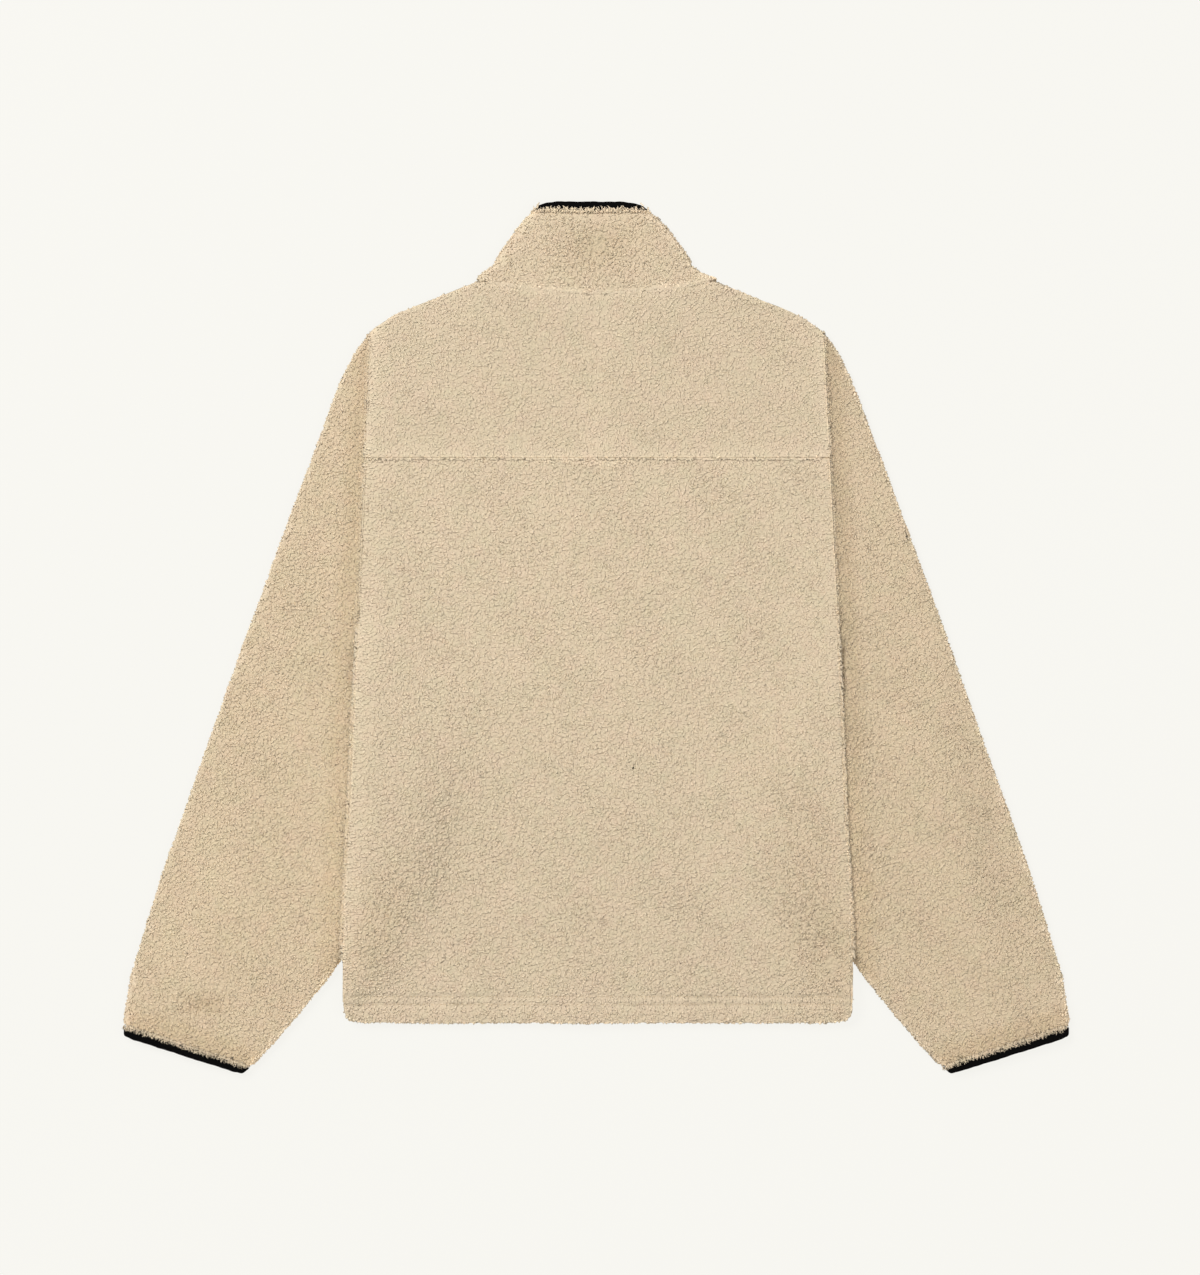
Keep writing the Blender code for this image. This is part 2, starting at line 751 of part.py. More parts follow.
def add_shape(name, shaped, finish):
    mesh = bpy.data.meshes.new(name)
    shaped.to_mesh(mesh)
    shaped.free()
    mesh.materials.append(material(finish))
    piece = bpy.data.objects.new(name, mesh)
    bpy.context.scene.collection.objects.link(piece)
    return piece


def metal_block(name, row):
    low = (row.x_from, HINGE_HEIGHT + row.low, row.z_from)
    high = (row.x_to, HINGE_HEIGHT + row.high, row.z_to)
    return block(name, low, high, "zip_metal", row.round)


def join(main_block, others):
    """One solid from overlapping ones."""
    for other in others:
        union = main_block.modifiers.new(other.name, "BOOLEAN")
        union.operation = "UNION"
        union.object = other
        other.hide_render = True
        other.display_type = "WIRE"
    return main_block


def build_tape(sign):
    near, far = sorted((sign * TAPE_NEAR, sign * TAPE_FAR))
    name = "zip_tape_" + side_of(sign)
    return block(name, (near, TAPE_FOOT, TAPE_LOW), (far, TAPE_TOP, TAPE_LOW + TAPE_THICK), "zip_tape")


def build_slider():
    """Two plates joined by a post, with a bail under the outer plate for the pull."""
    outer_plate = metal_block("zip_slider", OUTER_PLATE)
    post = metal_block("slider_post", POST)
    inner_plate = metal_block("slider_inner_plate", INNER_PLATE)
    bail = [metal_block(f"slider_bail_{index}", row) for index, row in enumerate(BAIL)]
    return join(outer_plate, [post, inner_plate, *bail])


def build_pull():
    """Flat tab on two arms with a crossbar through the bail. Its origin is on the hinge."""
    tab = metal_block("zip_pull", TAB)
    hinge = place(0.0, HINGE_HEIGHT, HINGE_Z)
    arms = [metal_block(f"pull_arm_{index}", row) for index, row in enumerate(ARMS)]
    for arm in arms:
        for vertex in arm.data.vertices:
            if vertex.co.y < hinge.y - CROSSBAR_RADIUS * MM:
                vertex.co.z -= ARM_DROP * MM
    shaped = bmesh.new()
    radius = CROSSBAR_RADIUS * MM
    across = Matrix.Translation(hinge) @ Matrix.Rotation(math.radians(90), 4, "Y")
    bmesh.ops.create_cone(shaped, cap_ends=True, segments=16, radius1=radius, radius2=radius,
                          depth=CROSSBAR_LENGTH * MM, matrix=across)
    crossbar = add_shape("pull_crossbar", shaped, "zip_metal")
    join(tab, [*arms, crossbar])
    for piece in (tab, *arms, crossbar):
        piece.data.transform(Matrix.Translation(-hinge))
        piece.location = hinge
    return tab


def main():
    for leftover in list(bpy.data.objects):
        bpy.data.objects.remove(leftover)
    build_back_body()
    build_back_yoke()
    build_collar()
    build_collar_binding()
    for sign in (-1, 1):
        build_front(sign)
        build_sleeve(sign)
        build_cuff_binding(sign)
        build_tape(sign)
    build_slider()
    build_pull()


main()
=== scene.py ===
"""Looks of a fleece jacket that lies flat, face down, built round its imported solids.

x runs across the jacket, y from hem to collar and z up out of its back. Tables here give places
in millimetres: x from the centre line, and height above the hem's folded edge.
"""
import json
import math
from collections import namedtuple

import bmesh
import bpy
import numpy as np
from bpy.props import FloatProperty, FloatVectorProperty, IntProperty, PointerProperty
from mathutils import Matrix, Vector
from mathutils.bvhtree import BVHTree
from mathutils.kdtree import KDTree

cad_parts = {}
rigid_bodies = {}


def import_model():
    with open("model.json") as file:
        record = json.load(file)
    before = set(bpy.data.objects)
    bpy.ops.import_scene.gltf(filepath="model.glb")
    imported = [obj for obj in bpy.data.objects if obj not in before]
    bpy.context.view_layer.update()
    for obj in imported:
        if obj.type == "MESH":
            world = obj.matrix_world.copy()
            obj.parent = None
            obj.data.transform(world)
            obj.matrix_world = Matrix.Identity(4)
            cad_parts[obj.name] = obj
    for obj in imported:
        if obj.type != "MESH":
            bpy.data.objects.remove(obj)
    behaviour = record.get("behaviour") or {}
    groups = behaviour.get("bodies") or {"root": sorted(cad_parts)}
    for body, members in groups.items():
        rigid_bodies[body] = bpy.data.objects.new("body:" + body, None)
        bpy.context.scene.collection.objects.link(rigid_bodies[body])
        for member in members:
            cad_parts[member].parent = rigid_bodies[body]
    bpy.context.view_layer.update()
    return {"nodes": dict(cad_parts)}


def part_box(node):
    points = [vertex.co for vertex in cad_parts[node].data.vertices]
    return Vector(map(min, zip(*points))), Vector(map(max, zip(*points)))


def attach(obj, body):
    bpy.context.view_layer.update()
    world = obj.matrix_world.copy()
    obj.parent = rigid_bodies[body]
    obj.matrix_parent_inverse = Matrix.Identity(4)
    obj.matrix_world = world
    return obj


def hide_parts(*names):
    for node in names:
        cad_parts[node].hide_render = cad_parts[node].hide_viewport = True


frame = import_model()

bl_info = {
    "name": "Fleece jacket",
    "version": (1, 0, 0),
    "blender": (4, 5, 0),
    "location": "3D View > Sidebar > Jacket",
    "description": "Curled fleece, elastic binding, zip and stitches of a jacket laid flat",
    "category": "Object",
}

MM = 0.001
BODY = "jacket"
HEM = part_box("back_body")[0].y / MM             # the hem's folded edge in the frame, mm
YOKE_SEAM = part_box("back_yoke")[0].y / MM - HEM  # height of the yoke seam above the hem
SLIDER_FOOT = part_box("zip_slider")[0].y

PANELS = ("back_yoke", "back_body", "front_left", "front_right")
SLEEVES = ("sleeve_left", "sleeve_right")
FLEECE_NODES = PANELS + SLEEVES + ("collar",)
BINDINGS = ("collar_binding", "cuff_binding_left", "cuff_binding_right")
TAPES = ("zip_tape_left", "zip_tape_right")

# Cut of what shows of each piece of cloth: width, length and area, in metres, how it is held,
# the pieces under it and those it carries
Cut = namedtuple("Cut", "width length area held rests_on carries")

# The largest piece carries its pile in two parts, between these heights
WHOLE_HEIGHT = (-1e3, 1e3)
PILE_PARTS = {"back_body": {"back_body_low_pile": (-1e3, 262.0), "back_body_high_pile": (262.0, 1e3)}}

# Half width of the body on each side
SideRow = namedtuple("SideRow", "height left right")
SIDES = (
    SideRow(0.0, 236.5, 240.0),
    SideRow(78.0, 238.6, 241.1),
    SideRow(190.8, 232.7, 234.5),
    SideRow(383.5, 224.0, 226.8),
    SideRow(649.5, 212.0, 213.6),
)

# How far the collar's sides reach out (+) or draw in (-) where it turns into the shoulders
NeckRow = namedtuple("NeckRow", "height left right")
NECK_SIDES = (
    NeckRow(686.0, 7.5, 7.5),
    NeckRow(698.0, 7.5, 7.5),
    NeckRow(704.0, 1.0, -5.5),
    NeckRow(710.0, -3.5, -8.5),
    NeckRow(716.0, -1.0, -3.0),
    NeckRow(724.0, 1.0, -1.0),
    NeckRow(736.0, 0.0, 0.0),
)

# Creases as soft troughs (negative rise) and ridges. Direction in degrees from the x axis.
Crease = namedtuple("Crease", "pieces x height direction length width rise")
CREASES = (
    Crease("back_body", -210, 87, 68, 52, 10, -2.3),
    Crease("back_body", -130, 177, 75, 62, 15, -1.5),
    Crease("back_body", -128, 97, 45, 48, 14, 0.9),
    Crease("back_body", 222, 66, 98, 52, 16, -1.3),
    Crease("back_body", 98, 110, 22, 30, 11, -0.8),
    Crease("back_body", 120, 330, 84, 90, 14, 0.5),
    Crease("back_body", -60, 380, 93, 80, 20, -0.4),
    Crease("front_left", -150, 210, 70, 70, 15, -1.3),
    Crease("front_left", -96, 90, 58, 42, 12, -0.9),
    Crease("front_right", 160, 150, 112, 66, 16, -1.4),
    Crease("front_right", 70, 420, 96, 90, 14, -0.8),
    Crease("sleeve_right", 350, 255, -76, 66, 12, -1.3),
    Crease("sleeve_right", 380, 122, -80, 76, 13, -2.1),
    Crease("sleeve_right", 416, 12, -60, 18, 8, -1.6),
    Crease("sleeve_left", -368, 16, 6, 17, 6, -2.2),
    Crease("sleeve_left", -350, -28, -24, 15, 6, -1.5),
    Crease("sleeve_left", -268, 360, 72, 60, 16, -0.8),
    Crease("sleeve_left", -300, 110, 40, 40, 14, -0.7),
    Crease("collar", 3, 731, 20, 24, 12, -0.8),
)

# How the pile lies where it isn't even: soft patches that change its height, how far it is combed
# one way (lay, in degrees), its lightness and its warmth. Where a patch lies in a crease or beside a
# cuff's binding, its darker tone and added warmth are painted shade.
Nap = namedtuple("Nap", "pieces x height direction length width loft combed lay tone warmth")
NAPS = (
    Nap("back_body", -205, 90, 66, 60, 26, 0.42, 0.5, 52, 0.0, 0.4),
    Nap("back_body", -150, 190, 65, 90, 40, 0.25, 0.5, 55, -0.012, 0.0),
    Nap("back_body", 205, 130, 96, 110, 40, 0.35, 0.3, 100, -0.01, 0.3),
    Nap("back_body", 225, 62, 96, 60, 24, 0.15, 0.3, 110, -0.02, 0.3),
    Nap("back_body", 0, 100, 0, 260, 140, 0.08, 0.0, 0, -0.012, 0.0),
    Nap("back_yoke", -6, 671, 0, 36, 9, -0.4, 0.4, 90, -0.005, 0.0),
    Nap("collar", 3, 729, 15, 38, 20, 0.35, 0.0, 0, -0.05, 0.5),
    Nap("sleeve_right", 366, 165, -78, 130, 16, 0.1, 0.2, 100, -0.035, 0.0),
    Nap("sleeve_left", -368, 18, 6, 20, 9, 0.4, 0.2, 90, -0.05, 0.5),
    Nap("sleeve_left", -377, 104, 60, 60, 34, -0.1, 0.0, 0, 0.022, 0.0),
    Nap("sleeve_left", -362, -26, -20, 44, 11, 0.1, 0.0, 0, -0.05, 0.4),
    Nap("sleeve_right", 400, -20, 17, 46, 11, 0.1, 0.0, 0, -0.05, 0.4),
)

# Evenly different pile of a whole piece: height, tone and warmth
Whole = namedtuple("Whole", "loft tone warmth")
WHOLE = {
    "back_yoke": Whole(0.76, -0.045, 0.0),
    "back_body": Whole(0.86, -0.022, 0.0),
    "front_left": Whole(0.9, 0.0, 0.0),
    "front_right": Whole(0.9, 0.0, 0.0),
    "sleeve_left": Whole(0.95, -0.032, 0.5),
    "sleeve_right": Whole(0.95, -0.045, 0.4),
    "collar": Whole(1.0, -0.02, 0.1),
}

# Rows of short curls over a seam. Its middle lies at `low` and it climbs by `rise` to its ends.
# The rows' darker tone is painted shade in the seam's hollow.
SeamRow = namedtuple("SeamRow", "node half low rise step aim swing length width tall lift shown tone")
SEAM_ROWS = (
    SeamRow("collar", 110.0, 685.3, 13.4, 0.36, 0, 60, 4.8, 3.4, 0.7, -0.45, 9.0, -0.14),
    SeamRow("back_yoke", 213.0, YOKE_SEAM - 0.2, 0.0, 0.6, 90, 70, 4.4, 3.4, 0.7, -0.4, 1.1, -0.03),
)

HEM_STITCH_ROWS = (25.4, 17.9)      # heights of the hem's two rows of stitches
HEM_BAND = (20.5, 9.0)              # middle and half width of the pressed band round those rows
GROOVE_HALF = 1.5                   # half width of the groove that a row of stitches pulls in
GROOVE_DEPTH = 2.2
SIDE_SPAN = (62.0, 648.0)           # heights between which the sides lie over the sleeves
SEAM_HALF = 2.4                     # how far from a seam the cloth rolls down into it
SEAM_DEPTH = 0.3
NECK_SEAM_DEPTH = 0.35
YOKE_BAND = 8.5                     # height of the pressed seam allowance above the yoke seam
BRIDGE = 0.16                       # how far a hidden seam face reaches into its gap
GROUND_DEPTH = 0.35                 # share of the tops' colour on the cloth under the curls; the rest is the darker root colour, painted shade between the curls
PILE_ROOT = 1.0                     # the pile's roots lie this far inside the solid's face
RIM_PAINTED_GLOW = 0.22                     # painted light on the pile's rims seen edge-on: how much lighter they are, as if light shone through
FAR_PAINTED_GLOW = 0.45                     # and how much more painted light on the side away from the key light
RIM_GLOW_PALENESS = 0.9                      # and how much less warm that painted rim light is
FAR_SIDE = np.array([0.75, -0.66, 0.0])
COVERED = 9.0                       # cloth nearer than this to the next layer is hidden
HIDDEN_CELL = 26.0                  # longest edge of the mesh on hidden faces
SMOOTH_PASSES = 14
SLEEVE_TUCK = 3.2                   # how far a sleeve's fold reaches under the body's side
BAND_CELL = 3.0                     # longest edge of the bindings' mesh
BAND_PRESS = 1.9                    # how far the middle of the collar's binding is pressed down
TAPE_CELL = 9.0
TOOTH = (2.7, 1.5, 1.7)             # size of a zip tooth: across the zip, along it and up
SLEEVE_SWELL = 6.0                  # how far a sleeve puffs up beside the lower body
MERGE = 0.01 * MM                   # corners of a solid's faces nearer than this are one
FLOOR_DROP = 0.9 * MM               # the floor lies this far under the jacket
BELOW_SHARE = 0.15                  # share kept of what a curl reaches below the jacket's rest
STITCH_SPAN = (-230.0, 234.0)       # ends of a row of stitches
ZIP_GAP = 7.0                       # half width of the gap that the zip leaves in the fronts' rows
THICK_BELOW = 345.0                 # below this height the body's side stands well above a sleeve
MOST_SHAPES = 4                     # shapes that a random pick chooses between


# ---- settings ------------------------------------------------------------------------------

class JacketFleece(bpy.types.PropertyGroup):
    """Curled pile of the jacket's cloth"""
    spacing: FloatProperty(name="Curl spacing", description="Least distance between two curls",
                           default=0.0028, unit="LENGTH")
    edge_spacing: FloatProperty(name="Edge spacing", default=0.0021, unit="LENGTH",
                                description="Least distance between two curls on an edge")
    under_spacing: FloatProperty(name="Curl spacing underneath", default=0.0056, unit="LENGTH",
                                 description="Least distance between two curls on the face that is down")
    curl_length: FloatProperty(name="Curl length", description="Length of a curl",
                               default=0.0043, unit="LENGTH")
    curl_width: FloatProperty(name="Curl width", description="Width of a curl",
                              default=0.0031, unit="LENGTH")
    curl_height: FloatProperty(name="Curl height", description="Height of a curl above its root",
                               default=0.0011, unit="LENGTH")
    fuzz_spacing: FloatProperty(name="Fuzz spacing", default=0.0022, unit="LENGTH",
                                description="Least distance between two hairs of an edge")
    cell: FloatProperty(name="Cloth cell", description="Longest edge of the cloth's mesh",
                        default=0.0105, unit="LENGTH")
    fine_cell: FloatProperty(name="Fine cell", description="Longest edge near stitches and seams",
                             default=0.0023, unit="LENGTH")
    seed: IntProperty(name="Seed", description="Picks the places of the curls", default=7)
    colour: FloatVectorProperty(name="Fleece", description="Colour of the curls' tops",
                                default=(0.678, 0.563, 0.406), subtype="COLOR")
    # Root: darker than the tops, it is painted shade in the crevices between the curls and at their roots
    root: FloatVectorProperty(name="Root", description="Colour between the curls",
                              default=(0.512, 0.411, 0.283), subtype="COLOR")
    # Warm tint: some pieces are warmer, and the painted shade in creases, at the cuffs and on the sleeves
    # beside the body takes it too
    warm: FloatVectorProperty(name="Warm", description="Tint of the warmer fleece",
                              default=(1.0, 0.955, 0.88), subtype="COLOR")


class JacketTrim(bpy.types.PropertyGroup):
    """Elastic binding, thread and zip"""
    binding: FloatVectorProperty(name="Binding", description="Colour of the elastic binding",
                                 default=(0.0030, 0.0028, 0.0028), subtype="COLOR")
    thread: FloatVectorProperty(name="Thread", description="Colour of the sewing thread",
                                default=(0.66, 0.53, 0.36), subtype="COLOR")
    tape: FloatVectorProperty(name="Zip tape", description="Colour of the zip's tapes and teeth",
                              default=(0.62, 0.50, 0.35), subtype="COLOR")
    metal: FloatVectorProperty(name="Slider", description="Colour of the slider and its pull",
                               default=(0.035, 0.035, 0.038), subtype="COLOR")
    stitch_pitch: FloatProperty(name="Stitch pitch", description="Length of one stitch and its gap",
                                default=0.0040, unit="LENGTH")
    thread_width: FloatProperty(name="Thread width", description="Thickness of the thread",
                                default=0.0006, unit="LENGTH")
    tooth_pitch: FloatProperty(name="Tooth pitch", description="Distance between the teeth of one side",
                               default=0.0029, unit="LENGTH")


class JacketStage(bpy.types.PropertyGroup):
    """Floor, lights and camera"""
    floor: FloatVectorProperty(name="Floor", description="Colour of the floor",
                               default=(0.94, 0.93, 0.885), subtype="COLOR")
    camera_height: FloatProperty(name="Camera height", description="Height of the camera above the floor",
                                 default=5.0, unit="LENGTH")
    view_height: FloatProperty(name="View height", description="Length of floor that shows",
                               default=1.1985, unit="LENGTH")
    sky: FloatProperty(name="Sky", description="Strength of the even light", default=0.32)
    key: FloatProperty(name="Key light", description="Power of the large soft light", default=385.0,
                       unit="POWER")


class JacketSettings(bpy.types.PropertyGroup):
    """Sizes and colours of the whole jacket"""
    fleece: PointerProperty(type=JacketFleece)
    trim: PointerProperty(type=JacketTrim)
    stage: PointerProperty(type=JacketStage)


# ---- small helpers -------------------------------------------------------------------------

def ease(share):
    share = np.clip(share, 0.0, 1.0)
    return share * share * (3 - 2 * share)


def patch(x, height, row):
    """Soft weight of a table row's patch, 1 at its middle."""
    turn = math.radians(row.direction)
    dx, dh = x - row.x, height - row.height
    along = (dx * math.cos(turn) + dh * math.sin(turn)) / row.length
    across = (dh * math.cos(turn) - dx * math.sin(turn)) / row.width
    return np.exp(-along**2 - across**2)


def wander(x, y, scale, seed):
    """Slow uneven numbers from about -1 to 1, the same each run."""
    total = np.zeros_like(x)
    draws = np.random.default_rng(seed)
    for octave in range(6):
        turn, phase = draws.uniform(0, 2 * math.pi, 2)
        wave = 2 * math.pi / (scale * draws.uniform(0.6, 1.7))
        total += np.sin((x * math.cos(turn) + y * math.sin(turn)) * wave + phase)
    return total / 3.0


def read_vectors(items, field):
    values = np.zeros(len(items) * 3, np.float32)
    items.foreach_get(field, values)
    return values.reshape(-1, 3).astype(float)


def write_points(mesh, points):
    mesh.vertices.foreach_set("co", points.astype(np.float32).ravel())
    mesh.update()


def finished_mesh(shaped, name):
    """Mesh of a finished bmesh, which is freed."""
    mesh = bpy.data.meshes.new(name)
    shaped.to_mesh(mesh)
    shaped.free()
    return mesh


def write_attribute(mesh, name, values, kind="FLOAT", domain="POINT"):
    attribute = mesh.attributes.new(name, kind, domain)
    field = "vector" if kind == "FLOAT_VECTOR" else "value"
    attribute.data.foreach_set(field, np.asarray(values).ravel())


def new_object(name, mesh):
    made = bpy.data.objects.new(name, mesh)
    bpy.context.scene.collection.objects.link(made)
    return made


def place_on_body(piece):
    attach(piece, BODY)
    return piece


def evaluated_mesh(piece, name):
    """Plain mesh of a piece with its modifiers applied."""
    graph = bpy.context.evaluated_depsgraph_get()
    mesh = bpy.data.meshes.new_from_object(piece.evaluated_get(graph), preserve_all_data_layers=True,
                                           depsgraph=graph)
    mesh.name = name
    return mesh


def search_tree(pieces):
    """The meshes of several pieces in one search tree."""
    points, faces = [], []
    for piece in pieces:
        start = len(points)
        points += [vertex.co.copy() for vertex in piece.data.vertices]
        faces += [[start + index for index in face.vertices] for face in piece.data.polygons]
    return BVHTree.FromPolygons(points, faces)


def surface_z(tree, x, y, side):
    """Where a line from above (side 1) or below (side -1) first meets the tree's meshes."""
    hit = tree.ray_cast(Vector((x, y, 0.1 * side)), Vector((0.0, 0.0, -side)))
    return hit[0].z if hit[0] else None


# ---- node helpers --------------------------------------------------------------------------

def add_node(tree, kind, links=None, values=None, **settings):
    """A node with its settings, its linked inputs and its plain input values."""
    node = tree.nodes.new(kind)
    for name, value in settings.items():
        setattr(node, name, value)
    for name, value in (values or {}).items():
        pin(node.inputs, name).default_value = value
    for name, source in (links or {}).items():
        tree.links.new(source, pin(node.inputs, name))
    return node


def pin(sockets, name):
    """Socket by its number, or by its name among those in use."""
    if isinstance(name, int):
        return sockets[name]
    return next(socket for socket in sockets if socket.name == name and socket.enabled)


def add_sockets(tree, inputs, outputs):
    """Named inputs and outputs of a node group, and its two end nodes."""
    for name, kind in inputs:
        tree.interface.new_socket(name, in_out="INPUT", socket_type=kind)
    for name, kind in outputs:
        tree.interface.new_socket(name, in_out="OUTPUT", socket_type=kind)
    return tree.nodes.new("NodeGroupInput"), tree.nodes.new("NodeGroupOutput")


def set_inputs(modifier, values):
    """A modifier's inputs by name, set through the sockets' identifiers."""
    for item in modifier.node_group.interface.items_tree:
        if item.item_type == "SOCKET" and item.in_out == "INPUT" and item.name in values:
            modifier[item.identifier] = values[item.name]


def maths(tree, operation, *inputs):
    """A maths node's output. Each input is a socket or a number."""
    node = tree.nodes.new("ShaderNodeMath")
    node.operation = operation
    for index, value in enumerate(inputs):
        if isinstance(value, (int, float)):
            node.inputs[index].default_value = value
        else:
            tree.links.new(value, node.inputs[index])
    return node.outputs[0]


def blend_colours(tree, kind, factor, first, second):
    """A colour mix's output. Each colour is a socket or three numbers."""
    node = tree.nodes.new("ShaderNodeMix")
    node.data_type = "RGBA"
    node.blend_type = kind
    for index, value in ((0, factor), (6, first), (7, second)):
        if isinstance(value, bpy.types.NodeSocket):
            tree.links.new(value, node.inputs[index])
        elif index:
            node.inputs[index].default_value = (*value, 1.0)
        else:
            node.inputs[index].default_value = value
    return node.outputs[2]


# ---- materials -----------------------------------------------------------------------------

def new_material(name):
    """A material, its node tree, its shader and the place that its patterns follow."""
    made = bpy.data.materials.new(name)
    made.use_nodes = True
    tree = made.node_tree
    place = add_node(tree, "ShaderNodeTexCoord").outputs["Object"]
    return made, tree, tree.nodes["Principled BSDF"], place


def set_values(node, values):
    for name, value in values.items():
        node.inputs[name].default_value = value


def add_relief(tree, shader, height, strength, distance):
    """Fine bump of a material, from a height."""
    relief = add_node(tree, "ShaderNodeBump", {"Height": height},
                      {"Strength": strength, "Distance": distance})
    tree.links.new(relief.outputs["Normal"], shader.inputs["Normal"])


def fibre_group():
    """Shader group: the fleece's own uneven colour with painted shade in the crevices of its curls,
    the painted light and shade that its tone and warmth carry, and the height of its finest curls.
    """
    name = "Fleece fibres"
    if name in bpy.data.node_groups:
        return bpy.data.node_groups[name]
    tree = bpy.data.node_groups.new(name, "ShaderNodeTree")
    start, end = add_sockets(
        tree,
        [("Position", "NodeSocketVector"), ("Fleece", "NodeSocketColor"), ("Root", "NodeSocketColor"),
         ("Warm", "NodeSocketColor"), ("Depth", "NodeSocketFloat"), ("Tone", "NodeSocketFloat"),
         ("Warmth", "NodeSocketFloat"), ("Speck", "NodeSocketFloat"), ("Loft", "NodeSocketFloat"),
         ("Streak", "NodeSocketFloat")],
        [("Colour", "NodeSocketColor"), ("Height", "NodeSocketFloat")])
    place = start.outputs["Position"]
    blotch = add_node(tree, "ShaderNodeTexNoise", {"Vector": place},
                      {"Scale": 28.0, "Detail": 3.0, "Roughness": 0.6})
    tint = add_node(tree, "ShaderNodeTexNoise", {"Vector": place},
                    {"Scale": 60.0, "Detail": 4.0, "Roughness": 0.65})
    fibre = add_node(tree, "ShaderNodeTexNoise", {"Vector": place}, {"Scale": 1100.0, "Detail": 1.0})
    cells = add_node(tree, "ShaderNodeTexVoronoi", {"Vector": place}, {"Scale": 350.0})
    combed = add_node(tree, "ShaderNodeMapping", {"Vector": place}, {"Scale": (110.0, 420.0, 300.0)})
    streaks = add_node(tree, "ShaderNodeTexVoronoi", {"Vector": combed.outputs[0]}, {"Scale": 1.0})
    curled = maths(tree, "SUBTRACT", 1.0, cells.outputs["Distance"])
    brushed = maths(tree, "SUBTRACT", 1.0, streaks.outputs["Distance"])
    relief = add_node(tree, "ShaderNodeMix", {0: start.outputs["Streak"], 2: curled, 3: brushed})
    # Painted shade: the low parts of the fine relief, and of each curl by its depth, take the darker root
    # colour.
    crevice_shade_mix = maths(tree, "MULTIPLY_ADD", relief.outputs[0], 0.3, start.outputs["Depth"])
    colour = blend_colours(tree, "MIX", crevice_shade_mix, start.outputs["Root"], start.outputs["Fleece"])
    warmed = blend_colours(tree, "MULTIPLY", start.outputs["Warmth"], colour, start.outputs["Warm"])
    pink = blend_colours(tree, "MIX", tint.outputs["Fac"], (0.94, 1.02, 0.97), (1.06, 0.98, 1.03))
    tinted = blend_colours(tree, "MULTIPLY", 1.0, warmed, pink)
    specks = maths(tree, "MULTIPLY_ADD", start.outputs["Speck"], 0.08, 0.96)
    blotches = maths(tree, "MULTIPLY_ADD", blotch.outputs["Fac"], 0.05, 0.975)
    fibres = maths(tree, "MULTIPLY_ADD", fibre.outputs["Fac"], 0.10, 0.95)
    toned = maths(tree, "ADD", start.outputs["Tone"], 1.0)
    light = maths(tree, "MULTIPLY", maths(tree, "MULTIPLY", specks, blotches),
                  maths(tree, "MULTIPLY", fibres, toned))
    grey = add_node(tree, "ShaderNodeCombineColor", {"Red": light, "Green": light, "Blue": light})
    lit = blend_colours(tree, "MULTIPLY", 1.0, tinted, grey.outputs["Color"])
    fluffed = maths(tree, "MULTIPLY_ADD", fibre.outputs["Fac"], 0.15, relief.outputs[0])
    tree.links.new(lit, end.inputs["Colour"])
    tree.links.new(maths(tree, "MULTIPLY", fluffed, start.outputs["Loft"]), end.inputs["Height"])
    return tree


def fleece_material(name, settings, depth, bump):
    """Curled fleece. `depth` is the share of the tops' colour, or the attribute that gives it;
    the rest is the darker root colour, painted shade between and under the curls.
    """
    made, tree, shader, place = new_material(name)
    links = {"Position": place}
    values = {"Fleece": (*settings.colour, 1.0), "Root": (*settings.root, 1.0),
              "Warm": (*settings.warm, 1.0)}
    for socket, attribute in (("Tone", "tone"), ("Warmth", "warmth"), ("Speck", "speck"),
                              ("Loft", "loft"), ("Streak", "streak"), ("Depth", depth)):
        if isinstance(attribute, float):
            values[socket] = attribute
        else:
            links[socket] = add_node(tree, "ShaderNodeAttribute", attribute_name=attribute).outputs["Fac"]
    fibres = tree.nodes.new("ShaderNodeGroup")
    fibres.node_tree = fibre_group()
    set_values(fibres, values)
    for socket, source in links.items():
        tree.links.new(source, fibres.inputs[socket])
    tree.links.new(fibres.outputs["Colour"], shader.inputs["Base Color"])
    add_relief(tree, shader, fibres.outputs["Height"], bump, 0.0012)
    set_values(shader, {"Roughness": 0.95, "Specular IOR Level": 0.15, "Sheen Weight": 0.25,
                        "Sheen Roughness": 0.6, "Sheen Tint": (1.0, 0.93, 0.82, 1.0)})
    return made


def woven_material(name, colour, scale, contrast, roughness, bump, pattern, gloss=0.15):
    """Fine cross-ribbed weave, laid out by the attribute `pattern` if there is one."""
    made, tree, shader, place = new_material(name)
    if pattern:
        place = add_node(tree, "ShaderNodeAttribute", attribute_name=pattern).outputs["Vector"]
    ribs = [add_node(tree, "ShaderNodeTexWave", {"Vector": place}, {"Scale": scale, "Distortion": 0.6,
                     "Detail": 1.0}, bands_direction=axis).outputs["Fac"] for axis in ("X", "Y")]
    fluff = add_node(tree, "ShaderNodeTexNoise", {"Vector": place}, {"Scale": 900.0, "Detail": 2.0})
    weave = maths(tree, "MULTIPLY", *ribs)
    height = maths(tree, "ADD", weave, maths(tree, "MULTIPLY", fluff.outputs["Fac"], 0.4))
    # Painted shade: the weave is darker where it lies low, in the hollows between its ribs.
    shade = [tuple(part * factor for part in colour) for factor in (1 - contrast, 1 + contrast)]
    tree.links.new(blend_colours(tree, "MIX", height, *shade), shader.inputs["Base Color"])
    add_relief(tree, shader, height, bump, 0.0003)
    set_values(shader, {"Roughness": roughness, "Specular IOR Level": gloss})
    return made


